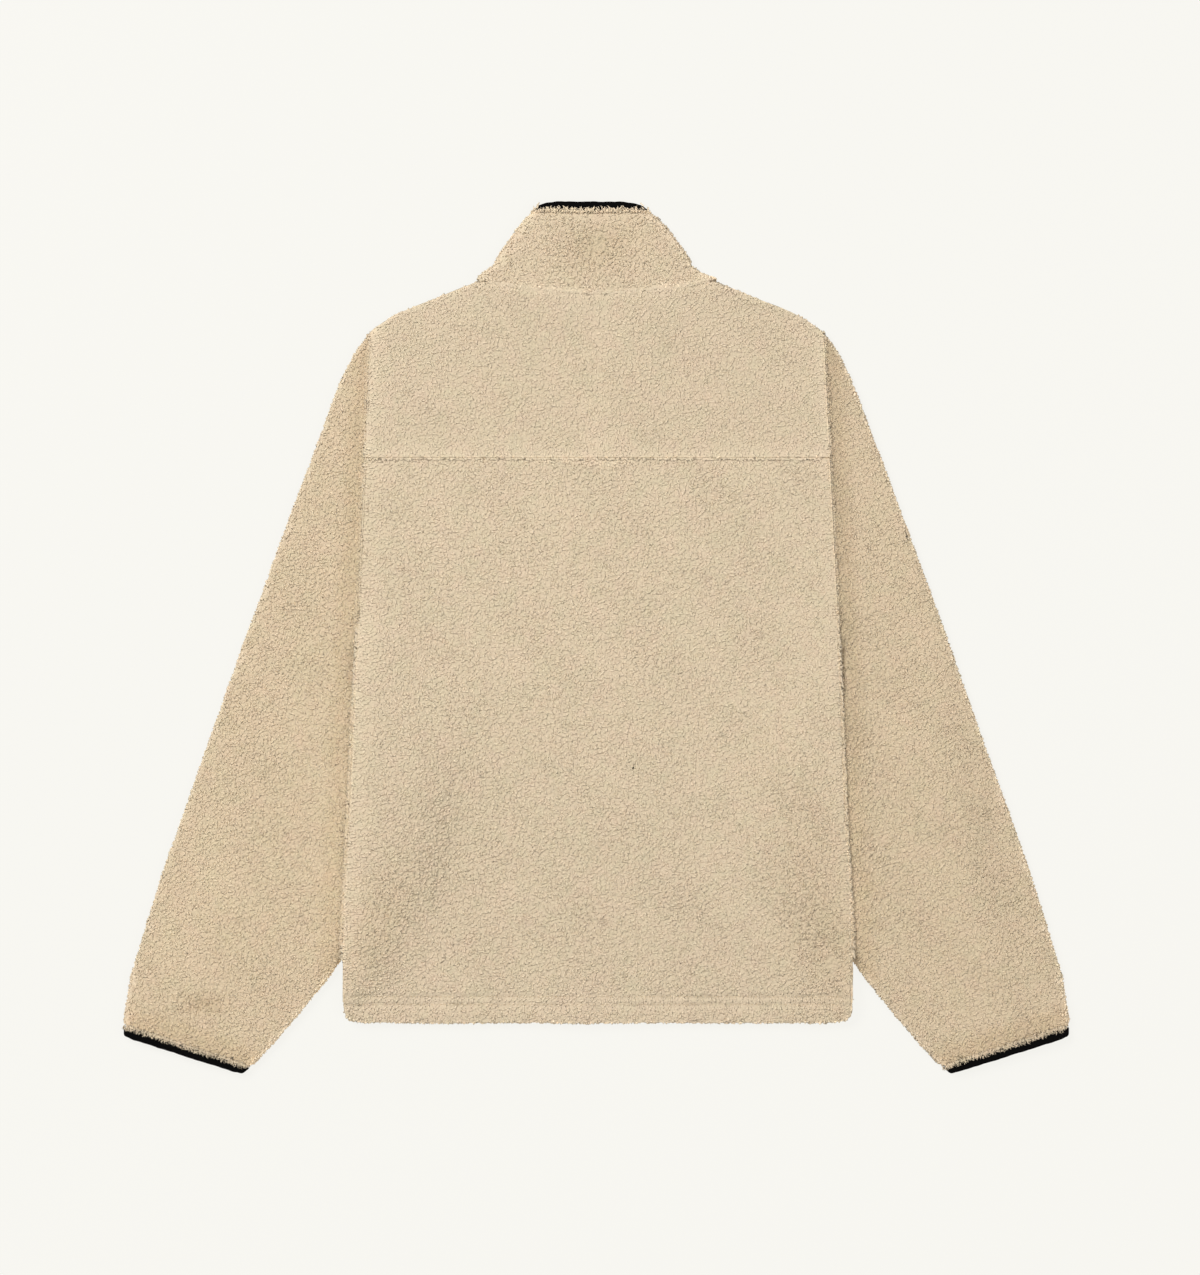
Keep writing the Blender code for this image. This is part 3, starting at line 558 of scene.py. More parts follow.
def hard_material(name, colour, metallic, roughness):
    """Lacquered metal or moulded plastic with faint wear and grain."""
    made, tree, shader, place = new_material(name)
    grain = add_node(tree, "ShaderNodeTexNoise", {"Vector": place}, {"Scale": 600.0, "Detail": 3.0})
    wear = [tuple(part * factor for part in colour) for factor in (0.85, 1.2)]
    worn = blend_colours(tree, "MIX", grain.outputs["Fac"], *wear)
    tree.links.new(worn, shader.inputs["Base Color"])
    rough = maths(tree, "MULTIPLY_ADD", grain.outputs["Fac"], 0.2, roughness - 0.1)
    tree.links.new(rough, shader.inputs["Roughness"])
    add_relief(tree, shader, grain.outputs["Fac"], 0.15, 0.0001)
    set_values(shader, {"Metallic": metallic})
    return made


# ---- cloth ---------------------------------------------------------------------------------

def by_side(rows, x, height):
    """A table's left or right column at a height, after the side that x is on."""
    heights = [row.height for row in rows]
    left = np.interp(height, heights, [row.left for row in rows])
    return np.where(x < 0, left, np.interp(height, heights, [row.right for row in rows]))


def side_inset(x, height):
    """Distance in from the body's side."""
    return by_side(SIDES, x, height) - np.abs(x)


def cell_at(node, x, height, settings):
    """Longest edge that the mesh of a piece may have at a place, mm."""
    coarse, fine = settings.cell / MM, settings.fine_cell / MM
    if node in PANELS:
        if 13 < height < 30 or abs(height - YOKE_SEAM) < 4:
            return fine
        if side_inset(x, height) < 11:
            return 0.6 * coarse
    return coarse


def refine(shaped, longest):
    """Splits a mesh's long edges. `longest` gives the length allowed, mm, at a shown place."""
    shown = shaped.faces.layers.int.new("shown")
    solids = search_tree(frame["nodes"].values())
    for face in shaped.faces:
        middle = face.calc_center_median()
        spots = [middle] + [vertex.co.lerp(middle, 0.15) for vertex in face.verts]
        face[shown] = any(is_open(solids, spot, face.normal) for spot in spots)
    for _ in range(6):
        split = []
        for edge in shaped.edges:
            middle = (edge.verts[0].co + edge.verts[1].co) / 2 / MM
            allowed = HIDDEN_CELL
            if any(face[shown] for face in edge.link_faces):
                allowed = longest(middle.x, middle.y - HEM)
            if edge.calc_length() / MM > allowed:
                split.append(edge)
        if not split:
            break
        bmesh.ops.subdivide_edges(shaped, edges=split, cuts=1)
        bmesh.ops.triangulate(shaped, faces=[face for face in shaped.faces if len(face.verts) > 3])
    shaped.faces.layers.int.remove(shown)


def split_copy(node, longest):
    """Copy of a solid's mesh with its long edges split."""
    shaped = bmesh.new()
    shaped.from_mesh(frame["nodes"][node].data)
    bmesh.ops.remove_doubles(shaped, verts=shaped.verts, dist=MERGE)
    refine(shaped, longest)
    return finished_mesh(shaped, node + "_cloth")


def is_open(solids, spot, normal):
    """Whether nothing lies close above a place of a face."""
    hit = solids.ray_cast(spot + normal * (0.05 * MM), normal, COVERED * MM)
    return hit[0] is None


def face_corners(mesh):
    corners = np.zeros(len(mesh.loops), int)
    mesh.loops.foreach_get("vertex_index", corners)
    return corners.reshape(-1, 3)


def vertex_normals(mesh):
    """Vertex normals, taken from the faces' areas where a sliver has turned Blender's own."""
    corners = face_corners(mesh)
    first, second, third = read_vectors(mesh.vertices, "co")[corners].transpose(1, 0, 2)
    faces = np.cross(second - first, third - first)
    broad = np.zeros((len(mesh.vertices), 3))
    for corner in corners.T:
        np.add.at(broad, corner, faces)
    broad /= np.maximum(np.linalg.norm(broad, axis=1, keepdims=True), 1e-12)
    normals = read_vectors(mesh.vertex_normals, "vector")
    turned = (normals * broad).sum(axis=1) < 0.6
    normals[turned] = broad[turned]
    return normals


def face_openness(mesh, solids):
    """Of each face, whether it shows. A sliver that is turned over looks where its corners do."""
    centres = read_vectors(mesh.polygons, "center")
    normals = read_vectors(mesh.polygons, "normal")
    shared = vertex_normals(mesh)[face_corners(mesh)].mean(axis=1)
    turned = (normals * shared).sum(axis=1) < 0
    normals[turned] = shared[turned]
    return np.array([is_open(solids, Vector(centre), Vector(normal))
                     for centre, normal in zip(centres, normals)])


def vertex_shares(mesh, faces_open):
    """Of each vertex, whether any and whether all of its faces are open."""
    corners = face_corners(mesh).ravel()
    of_face = np.repeat(faces_open, 3)
    count = len(mesh.vertices)
    opened = np.bincount(corners, weights=of_face, minlength=count)
    total = np.bincount(corners, minlength=count)
    return opened > 0, opened >= total


def even_out(mesh, values, movable, passes):
    """Evens out the movable vertices' values, such as their places, between their neighbours."""
    edges = np.zeros(len(mesh.edges) * 2, int)
    mesh.edges.foreach_get("vertices", edges)
    first, second = edges.reshape(-1, 2).T
    count = len(values)
    total = np.bincount(first, minlength=count) + np.bincount(second, minlength=count)
    columns = values.reshape(count, -1)
    for _ in range(passes):
        for column in columns.T:
            around = np.bincount(first, weights=column[second], minlength=count)
            around += np.bincount(second, weights=column[first], minlength=count)
            column[movable] = (0.4 * column + 0.6 * around / np.maximum(total, 1))[movable]


def distance_to(points, marked):
    """Distance of each point from the nearest marked one, mm."""
    tree = KDTree(int(marked.sum()))
    for index, point in enumerate(points[marked]):
        tree.insert(point, index)
    tree.balance()
    return np.array([tree.find(point)[2] for point in points]) / MM


def wall_depth(mesh, points, normals):
    """How thick the cloth is inwards from each point, mm."""
    own = BVHTree.FromPolygons([Vector(point) for point in points],
                               [tuple(face.vertices) for face in mesh.polygons])
    depths = np.full(len(points), 5.0)
    for index, (point, normal) in enumerate(zip(points, normals)):
        inward = -Vector(normal)
        hit = own.ray_cast(Vector(point) + inward * (0.1 * MM), inward, 8 * MM)
        if hit[0] is not None and hit[3] > 1.0 * MM:
            depths[index] = hit[3] / MM
    return depths


def near_neck(node, seam_height):
    """Share of a place that belongs to the neck seam."""
    if node == "collar":
        return 1.0
    return ease((seam_height - 640.0) / 20.0) if node == "back_yoke" else 0.0


def cloth_rise(node, x, height, seam):
    """How far the cloth stands out (+) or in (-) of its solid, from creases, seams and stitches."""
    rise = np.zeros_like(x)
    for row in CREASES:
        if row.pieces == node:
            rise += row.rise * patch(x, height, row)
    rise += 0.25 * wander(x, height, 90.0, 3)
    uneven = 0.75 + 0.35 * wander(x, height, 14.0, 5)
    neck = near_neck(node, height)
    deep = SEAM_DEPTH * np.clip(0.7 + 0.8 * wander(x, height, 11.0, 6), 0.1, 1.6)
    deep = deep * (1 - neck) + NECK_SEAM_DEPTH * neck
    rise -= deep * (1 - ease(seam / SEAM_HALF))
    if node == "back_yoke":
        rise += 0.6 * ease((YOKE_BAND + 2 - (height - YOKE_SEAM)) / 4.0)
    if node in PANELS and node != "back_yoke":
        for row in HEM_STITCH_ROWS:
            rise -= GROOVE_DEPTH * uneven * np.exp(-((height - row) / GROOVE_HALF) ** 2)
    return rise


def nap(node, x, height, seam, side):
    """How the pile lies: its height, how far it is combed, which way, its tone and its warmth.
    Its tone and warmth also carry painted shade in creases, stitch grooves and on the sleeves beside
    the body, and painted light and shade on the sides' combed bands.
    """
    whole = WHOLE[node]
    loft = np.full_like(x, whole.loft)
    combed = np.zeros_like(x)
    lay = np.zeros_like(x)
    tone = np.full_like(x, whole.tone)
    warmth = np.full_like(x, whole.warmth)
    streak = np.zeros_like(x)
    for row in NAPS:
        if row.pieces == node:
            weight = patch(x, height, row)
            loft += row.loft * weight
            lay += np.where(row.combed * weight > combed, math.radians(row.lay) - lay, 0.0)
            combed = np.maximum(combed, row.combed * weight)
            # Patches in creases and beside the cuffs' bindings add painted shade here.
            tone += row.tone * weight
            warmth += row.warmth * weight
    loft += 0.12 * wander(x, height, 60.0, 11)
    if node in PANELS:
        reach = np.where(x < 0, 26.0, 15.0) * (1 + 0.2 * wander(x, height, 50.0, 12))
        streak = (1 - ease(side / reach)) * ease(height / 60.0)
        loft -= 0.35 * streak
        lay *= 1 - streak
        combed = np.maximum(combed, 0.9 * streak)
        # The combed band is the pile's own; its tone adds painted light on the left side, towards the key
        # light, and painted shade on the right.
        tone += np.where(x < 0, 0.035, -0.01) * streak
        if node != "back_yoke":
            turned = np.exp(-((height - HEM_BAND[0]) / HEM_BAND[1]) ** 4)
            loft -= 0.35 * turned
            tone += 0.005 * turned
            combed = np.maximum(combed, 0.85 * turned)
            for row in HEM_STITCH_ROWS:
                groove = np.exp(-((height - row) / GROOVE_HALF) ** 2)
                loft -= 0.6 * groove
                # Painted shade in the stitch grooves: the pile there is darker.
                tone -= 0.16 * groove * np.clip(0.6 + 0.7 * wander(x, height, 24.0, 14), 0.0, 1.3)
    if node in SLEEVES:
        # Painted shadow: the sleeve is darker and warmer beside the body's side, where the body's edge
        # shades it, less so low down.
        painted_shadow = 1 - ease(seam / 26.0)
        low = 1 - ease((height - 180) / 180)
        tone -= np.where(x < 0, 0.09, 0.15) * painted_shadow * (1 - 0.7 * low)
        warmth += 0.9 * painted_shadow
    band = {"back_yoke": YOKE_BAND, "collar": 4.0}.get(node, 2.5)
    band += (4.0 - band) * near_neck(node, height)
    flat = 1 - ease(seam / band - 0.3)
    if node in ("back_yoke", "collar"):
        loft -= 0.4 * flat
        tone += 0.04 * flat
        combed = np.maximum(combed, 0.6 * flat)
    return {"loft": np.maximum(loft, 0.25), "combed": combed, "lay": lay, "tone": tone,
            "warmth": warmth, "streak": np.clip(streak, 0.0, 1.0)}


def edge_reach(node, x, height, normals):
    """How far a sleeve's fold reaches under the body at the armpit, mm."""
    if node not in SLEEVES:
        return 0.0
    inward = np.clip(-normals[:, 0] * np.sign(x), 0, 1)
    return SLEEVE_TUCK * ease(inward * 2 - 0.4) * np.exp(-((height - 368) / 42) ** 4)


def neck_spread(x, height):
    """Sideways shift of the collar's lower corners, mm."""
    outward = np.where(x < 0, -1.0, 1.0) * by_side(NECK_SIDES, x, height)
    return outward * ease((np.abs(x) - 62.0) / 36.0)


def top_press(points):
    """How far the top of the collar and its binding is pressed down, mm."""
    low, high = (corner.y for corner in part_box("collar_binding"))
    arch = np.clip(1 - (points[:, 0] / (48 * MM)) ** 2, 0, 1)
    return BAND_PRESS * arch * np.clip((points[:, 1] - low) / (high - low), 0, 1)


def swell(node, height, seam, normals):
    """How far a sleeve puffs up beside the lower part of the body's side, mm."""
    if node not in SLEEVES:
        return 0.0
    beside = ease((height - 45) / 40) * (1 - ease((height - 300) / 60))
    return SLEEVE_SWELL * (1 - ease(seam / 30.0)) * beside * np.clip(normals[:, 2], 0, 1)


def build_cloth(node, settings):
    """Thin shell of one cut piece on its solid's form."""
    mesh = split_copy(node, lambda x, height: cell_at(node, x, height, settings))
    faces_open = face_openness(mesh, search_tree(frame["nodes"].values()))
    any_open, all_open = vertex_shares(mesh, faces_open)
    points = read_vectors(mesh.vertices, "co")
    normals = vertex_normals(mesh)
    x, height = points[:, 0] / MM, points[:, 1] / MM - HEM
    seam = distance_to(points, any_open & ~all_open)
    side = side_inset(x, height)
    rim = 1 - np.abs(normals[:, 2])
    from_rim = distance_to(points, rim > 0.12)
    even_out(mesh, points, all_open & (from_rim > 2.0), SMOOTH_PASSES)
    x, height = points[:, 0] / MM, points[:, 1] / MM - HEM
    depth = wall_depth(mesh, points, normals)
    even_out(mesh, depth, any_open, 3)
    rise = cloth_rise(node, x, height, seam) - PILE_ROOT
    rise = np.maximum(rise, -0.42 * depth)
    rise += edge_reach(node, x, height, normals) + swell(node, height, seam, normals)
    resting = (normals[:, 2] < -0.3) & (points[:, 2] < 1.5 * MM)
    rise[resting] = np.minimum(rise[resting], -0.6 * PILE_ROOT)
    even_out(mesh, rise, all_open, 2)
    rise[~any_open] = np.where(rim > 0.5, BRIDGE, 0.0)[~any_open]
    points += normals * (rise * MM)[:, None]
    if node == "collar":
        points[:, 0] += neck_spread(x, height) * MM
        points[:, 1] -= top_press(points) * MM
    write_points(mesh, points)
    looks = nap(node, x, height, seam, side)
    # Painted light: rims seen edge-on are painted lighter and paler, most on the side away from the key
    # light.
    far = np.clip(normals @ FAR_SIDE, 0, 1)
    painted_rim_glow = ease(rim * 2.6 - 0.1)
    looks["tone"] += (RIM_PAINTED_GLOW + FAR_PAINTED_GLOW * far) * painted_rim_glow
    looks["warmth"] -= RIM_GLOW_PALENESS * painted_rim_glow
    for name, values in looks.items():
        write_attribute(mesh, name, values)
    faces = read_vectors(mesh.polygons, "normal")
    shared = vertex_normals(mesh)[face_corners(mesh)].mean(axis=1)
    grown = faces_open & ((faces * shared).sum(axis=1) > 0.3)
    facing = faces[:, 2]
    low = read_vectors(mesh.polygons, "center")[:, 2] < 6 * MM
    write_attribute(mesh, "above", grown & (facing > 0.5), "BOOLEAN", "FACE")
    write_attribute(mesh, "edge", grown & (facing <= 0.5) & (facing > -0.8), "BOOLEAN", "FACE")
    write_attribute(mesh, "below", grown & (facing <= -0.8) & low, "BOOLEAN", "FACE")
    mesh.shade_smooth()
    mesh.set_sharp_from_angle(angle=math.radians(60))
    return new_object(node + "_cloth", mesh)


# ---- pile ----------------------------------------------------------------------------------

# Shapes of a curl: how far it bends sideways, how far its ends bend back, and lean of its top
Curl = namedtuple("Curl", "bend twist lean")
CURLS = (Curl(0.4, 0.1, 0.1), Curl(-0.3, 0.25, -0.1), Curl(0.15, -0.35, 0.12), Curl(0.55, 0.15, 0.0))
WISPS = (Curl(0.9, 0.3, 0.0), Curl(-0.7, -0.5, 0.0), Curl(0.3, 0.9, 0.0), Curl(-1.2, 0.2, 0.0))
THREAD = (Curl(0.0, 0.0, 0.0),)
PROFILE = ((-1.0, -0.3), (0.0, 1.0), (1.0, -0.3))  # across a curl and up


def curl_mesh(name, curl, stations, root=0.0):
    """A closed curl of unit length, width and height that lies along x, its root below zero."""
    points = [(-0.5, 0.0, 0.0)]
    for station in range(1, stations + 1):
        share = station / (stations + 1)
        middle = curl.bend * math.sin(math.pi * share) + curl.twist * math.sin(2 * math.pi * share)
        half = 0.5 * math.sin(math.pi * share) ** 0.5
        points += [(share - 0.5, middle + half * y + curl.lean * z, z) for y, z in PROFILE]
    points.append((0.5, 0.0, 0.0))
    last = len(points) - 1
    sides = len(PROFILE)
    faces = []
    for side in range(sides):
        ahead = (side + 1) % sides
        faces.append((0, 1 + side, 1 + ahead))
        for ring in range(1, last - sides, sides):
            faces.append((ring + side, ring + sides + side, ring + sides + ahead, ring + ahead))
        faces.append((last, last - sides + ahead, last - sides + side))
    mesh = bpy.data.meshes.new(name)
    mesh.from_pydata(points, [], faces)
    shaped = bmesh.new()
    shaped.from_mesh(mesh)
    bmesh.ops.triangulate(shaped, faces=shaped.faces)
    bmesh.ops.recalc_face_normals(shaped, faces=shaped.faces)
    shaped.to_mesh(mesh)
    shaped.free()
    mesh.shade_smooth()
    # Painted shade: the lower a point of the curl, the more it takes the darker root colour; `root` is the
    # least share, so that loose curls stay light.
    write_attribute(mesh, "tip", [max(point[2], root) for point in points])
    return mesh


def shape_collection(name, meshes):
    """Small shapes as objects of a hidden collection, for geometry nodes to pick from."""
    shapes = bpy.data.collections.new(name)
    for index, mesh in enumerate(meshes):
        shapes.objects.link(bpy.data.objects.new(f"{name}_{index}", mesh))
    return shapes


def clear_collection(shapes):
    for shape in list(shapes.objects):
        bpy.data.objects.remove(shape)
    bpy.data.collections.remove(shapes)


def tree_attribute(tree, name, kind="FLOAT"):
    node = add_node(tree, "GeometryNodeInputNamedAttribute", values={"Name": name}, data_type=kind)
    return pin(node.outputs, "Attribute")


def tree_random(tree, seed, low, high, kind="FLOAT"):
    """Random numbers for each point; `seed` is a socket or a number."""
    links, values = {}, {"Min": low, "Max": high}
    (values if isinstance(seed, int) else links)["Seed"] = seed
    return pin(add_node(tree, "FunctionNodeRandomValue", links, values, data_type=kind).outputs, "Value")


def place_picks(tree, points, shapes, rotation, size, seed):
    """Instances on points, each a random one of a collection's shapes."""
    info = add_node(tree, "GeometryNodeCollectionInfo", {"Collection": shapes},
                    {"Separate Children": True, "Reset Children": True})
    placed = add_node(
        tree, "GeometryNodeInstanceOnPoints",
        {"Points": points, "Instance": info.outputs["Instances"], "Rotation": rotation, "Scale": size,
         "Instance Index": tree_random(tree, seed, 0, MOST_SHAPES - 1, "INT")}, {"Pick Instance": True})
    return placed.outputs["Instances"]


def finish_tree(tree, given, end, instances):
    """Realizes the instances and gives them their material."""
    plain = add_node(tree, "GeometryNodeRealizeInstances", {"Geometry": instances})
    finished = add_node(tree, "GeometryNodeSetMaterial",
                        {"Geometry": plain.outputs[0], "Material": given["Material"]})
    tree.links.new(finished.outputs[0], end.inputs[0])


def pile_tree():
    """Geometry nodes: curls spread over the open faces of a cloth."""
    tree = bpy.data.node_groups.new("Curled pile", "GeometryNodeTree")
    start, end = add_sockets(
        tree,
        [("Cloth", "NodeSocketGeometry"), ("Curls", "NodeSocketCollection"),
         ("Spacing", "NodeSocketFloat"), ("Edge spacing", "NodeSocketFloat"),
         ("Under spacing", "NodeSocketFloat"), ("Fuzz spacing", "NodeSocketFloat"),
         ("Length", "NodeSocketFloat"), ("Width", "NodeSocketFloat"),
         ("Height", "NodeSocketFloat"), ("Seed", "NodeSocketInt"), ("Material", "NodeSocketMaterial")],
        [("Pile", "NodeSocketGeometry")])
    given = start.outputs
    joined = add_node(tree, "GeometryNodeJoinGeometry")
    for index, (faces, spacing, tall, stands) in enumerate(
            (("above", "Spacing", 1.0, False), ("edge", "Edge spacing", 1.25, False),
             ("below", "Under spacing", 0.8, False), ("edge", "Fuzz spacing", 0.6, True))):
        def seed(offset):
            return maths(tree, "ADD", given["Seed"], float(20 * index + offset))

        most = maths(tree, "DIVIDE", 16.0, maths(tree, "POWER", given[spacing], 2.0))
        spread = add_node(
            tree, "GeometryNodeDistributePointsOnFaces",
            {"Mesh": given["Cloth"], "Selection": tree_attribute(tree, faces, "BOOLEAN"),
             "Distance Min": given[spacing], "Density Max": most, "Seed": seed(0)},
            distribute_method="POISSON")
        free = maths(tree, "SUBTRACT", 1.0, tree_attribute(tree, "combed"))
        swing = maths(tree, "MULTIPLY", free, tree_random(tree, seed(1), -1.571, 1.571))
        turn = maths(tree, "ADD", swing, tree_attribute(tree, "lay"))
        way = add_node(tree, "ShaderNodeCombineXYZ",
                       {"X": maths(tree, "COSINE", turn), "Y": maths(tree, "SINE", turn)})
        turned = add_node(tree, "FunctionNodeAxesToRotation")
        turned.primary_axis, turned.secondary_axis = ("X", "Z") if stands else ("Z", "X")
        tilt = tree_random(tree, seed(7), (-0.6,) * 3, (0.6,) * 3, "FLOAT_VECTOR")
        leaning = add_node(tree, "ShaderNodeVectorMath", {0: spread.outputs["Normal"], 1: tilt})
        first = leaning.outputs[0] if stands else spread.outputs["Normal"]
        tree.links.new(first, turned.inputs["Primary Axis"])
        if stands:
            turned.inputs["Secondary Axis"].default_value = (0.0, 0.0, 1.0)
        else:
            tree.links.new(way.outputs[0], turned.inputs["Secondary Axis"])
        share = maths(tree, "MINIMUM", maths(tree, "DIVIDE", given[spacing], given["Spacing"]), 1.1)
        long = maths(tree, "MULTIPLY", given["Length"], tree_random(tree, seed(2), 0.75, 1.3))
        wide = maths(tree, "MULTIPLY", given["Width"],
                     tree_random(tree, seed(3), 0.8 - 0.45 * stands, 1.2 - 0.6 * stands))
        high = maths(tree, "MULTIPLY", given["Height"], tree_random(tree, seed(4), 0.6 * tall, 1.35 * tall))
        size = add_node(tree, "ShaderNodeCombineXYZ", {
            "X": maths(tree, "MULTIPLY", long, share), "Y": maths(tree, "MULTIPLY", wide, share),
            "Z": maths(tree, "MULTIPLY", high, tree_attribute(tree, "loft"))})
        speck = add_node(tree, "GeometryNodeStoreNamedAttribute",
                         {"Geometry": spread.outputs["Points"],
                          "Value": tree_random(tree, seed(5), 0.0, 1.0)},
                         {"Name": "speck"}, data_type="FLOAT", domain="POINT")
        layer = place_picks(tree, speck.outputs["Geometry"], given["Curls"], turned.outputs["Rotation"],
                            size.outputs[0], seed(6))
        tree.links.new(layer, joined.inputs[0])
    finish_tree(tree, given, end, joined.outputs[0])
    return tree


def placing_tree():
    """Geometry nodes: shapes on given points, by the points' own aim, up and size."""
    if "Placed shapes" in bpy.data.node_groups:
        return bpy.data.node_groups["Placed shapes"]
    tree = bpy.data.node_groups.new("Placed shapes", "GeometryNodeTree")
    start, end = add_sockets(
        tree,
        [("Points", "NodeSocketGeometry"), ("Shapes", "NodeSocketCollection"),
         ("Material", "NodeSocketMaterial")],
        [("Shapes", "NodeSocketGeometry")])
    turned = add_node(tree, "FunctionNodeAxesToRotation",
                      {"Primary Axis": tree_attribute(tree, "up", "FLOAT_VECTOR"),
                       "Secondary Axis": tree_attribute(tree, "aim", "FLOAT_VECTOR")},
                      primary_axis="Z", secondary_axis="X")
    layer = place_picks(tree, start.outputs["Points"], start.outputs["Shapes"],
                        turned.outputs["Rotation"], tree_attribute(tree, "size", "FLOAT_VECTOR"), 3)
    finish_tree(tree, start.outputs, end, layer)
    return tree


# One small shape: its middle, the way it points, the way its top faces, its size, tone and warmth
Place = namedtuple("Place", "position aim up size tone warmth")


def place_shapes(name, shapes, finish, places):
    """One plain mesh of small shapes, each a random one of `shapes`."""
    draws = np.random.default_rng(17)
    mesh = bpy.data.meshes.new(name + "_points")
    mesh.from_pydata([place.position for place in places], [], [])
    for field in ("aim", "up", "size"):
        write_attribute(mesh, field, [getattr(place, field) for place in places], "FLOAT_VECTOR")
    for field in ("tone", "warmth"):
        write_attribute(mesh, field, [getattr(place, field) for place in places])
    write_attribute(mesh, "loft", np.full(len(places), 0.7))
    write_attribute(mesh, "speck", draws.random(len(places)))
    picked = shape_collection(name + "_shape", shapes)
    made = bake_nodes(mesh, name, placing_tree(), {"Shapes": picked, "Material": finish},
                      ("aim", "up", "size"))
    clear_collection(picked)
    return made


def heading(degrees):
    return Vector((math.cos(math.radians(degrees)), math.sin(math.radians(degrees)), 0.0))


def seam_places(row, cloths):
    """Short curls that lie over a seam of the back."""
    draws = np.random.default_rng(31)
    across = np.arange(-row.half, row.half, row.step)
    shown = wander(across, across * 0, 15.0, 8) < row.shown
    places = []
    for x in across[shown]:
        x += draws.uniform(-0.5, 0.5) * row.step
        height = row.low + row.rise * (x / row.half) ** 2 + draws.uniform(-1.0, 1.0)
        y = (height + HEM) * MM
        beside = [surface_z(cloths, x * MM, y + reach, 1) for reach in (-3 * MM, 3 * MM)]
        if None in beside:
            continue
        slope = math.degrees(math.atan(2 * row.rise * x / row.half**2))
        turn = slope + row.aim + draws.uniform(-row.swing, row.swing)
        size = [part * draws.uniform(0.8, 1.25) * MM for part in (row.length, row.width, row.tall)]
        places.append(Place((x * MM, y, sum(beside) / 2 + row.lift * MM), heading(turn), (0, 0, 1), size,
                            row.tone, 0.0))
    return places


def side_places(cloths):
    """Curls along the body's sides: dark warm ones down on the sleeves, painted shadow in the gap under
    the body's edge, and light ones that hang over them.
    """
    draws = np.random.default_rng(23)
    places = []
    for height in np.arange(*SIDE_SPAN, 1.2):
        for side in (-1, 1):
            half = side_inset(side * 1e-6, height)
            thick = float(height < THICK_BELOW)
            y = (height + HEM + draws.uniform(-0.5, 0.5)) * MM
            # The first three rows are painted shadow: darker, warmer curls where the body's edge shades the
            # sleeve.
            for inset, level_at, lift, turn, length, tone, warmth in (
                    (-1.6, -3.5, -0.1, 90 + draws.uniform(-70, 70), 4.4, -0.16, 1.0),
                    (-0.3, -2.5, 0.9, 90 + draws.uniform(-50, 50), 4.2, -0.14, 0.9),
                    (-0.1, -2.5, 2.0 * thick, 90 + draws.uniform(-50, 50), 4.2, -0.1, 0.9),
                    (0.2, 3.0, -1.3 - 1.4 * thick, 90 - 90 * side + draws.uniform(-40, 40), 4.2,
                     -0.07, 0.0)):
                x = side * (half - inset + draws.uniform(-0.5, 0.5)) * MM
                level = surface_z(cloths, side * (half - level_at) * MM, y, 1)
                if level is None:
                    continue
                size = [part * draws.uniform(0.8, 1.2) * MM for part in (length, 3.2, 1.0)]
                places.append(Place((x, y, level + lift * MM), heading(turn), (0, 0, 1), size, tone,
                                    warmth))
    return places


def wisp_places(node, cloths, bands):
    """Long loose curls of the fleece's edge that fall over a binding, above and beneath."""
    draws = np.random.default_rng(43)
    points = read_vectors(bpy.data.objects[node + "_cloth"].data.vertices, "co")[:, :2]
    middle = points.mean(axis=0)
    along, out = np.linalg.svd(points - middle, full_matrices=False)[2]
    if np.dot(out, middle) < 0:
        out = -out
    run, width = (points - middle) @ along, (points - middle) @ out
    out_turn = math.degrees(math.atan2(out[1], out[0]))
    places = []
    for side, step in ((1, 0.28 * MM), (-1, 0.9 * MM)):
        for station in np.arange(run.min() + 1 * MM, run.max() - 1 * MM, step):
            line = middle + along * station
            for reach in np.arange(width.max() + 2 * MM, width.min() - 12 * MM, -0.5 * MM):
                level = surface_z(cloths, *(line + out * reach), side)
                band = surface_z(bands, *(line + out * reach), side)
                if level is not None and (band is None or level * side > band * side):
                    break
            else:
                continue
            length = draws.uniform(2.8, 5.6) * MM
            aim = heading(out_turn + draws.normal(0.0, 24.0))
            root = line + out * (reach - draws.uniform(0.2, 3.2) * MM)
            tip = root + np.array(aim[:2]) * length
            over = surface_z(bands, *tip, side)
            low = level * side - draws.uniform(0.2, 0.7) * MM
            climb = 0.0 if over is None else max(over * side - level * side, 0.0)
            slope = (0.5 * climb + 0.8 * MM) / length
            middle_z = max((low + 0.75 * climb + 0.5 * MM) * side, 0.6 * MM)
            # Wisps over an upward binding are painted lighter: painted light against the shade on their
            # faces that climb away from the key light.
            places.append(Place((*(root + tip) / 2, middle_z), aim,
                                (-aim[0] * slope, -aim[1] * slope, side),
                                (length, draws.uniform(0.9, 1.6) * MM, draws.uniform(0.5, 0.8) * MM),
                                draws.uniform(-0.10, 0.0) + 0.18 * max(out[1], 0.0), 0.3))
    return places


def bake_nodes(mesh, name, tree, inputs, spent):
    """Plain object from a mesh's geometry nodes, without the attributes that only they needed."""
    grown = new_object(name + "_grown", mesh)
    step = grown.modifiers.new("nodes", "NODES")
    step.node_group = tree
    set_inputs(step, inputs)
    made = evaluated_mesh(grown, name)
    bpy.data.objects.remove(grown)
    points = read_vectors(made.vertices, "co")
    points[:, 2] *= np.where(points[:, 2] < 0, BELOW_SHARE, 1.0)
    write_points(made, points)
    for attribute in spent:
        if attribute in made.attributes:
            made.attributes.remove(made.attributes[attribute])
    return new_object(name, made)


def keep_part(mesh, low, high):
    """Leaves the pile's marks only on faces between two heights."""
    height = read_vectors(mesh.polygons, "center")[:, 1] / MM - HEM
    for name in ("above", "edge", "below"):
        marks = np.zeros(len(mesh.polygons), bool)
        mesh.attributes[name].data.foreach_get("value", marks)
        mesh.attributes[name].data.foreach_set("value", marks & (height > low) & (height <= high))
    return mesh


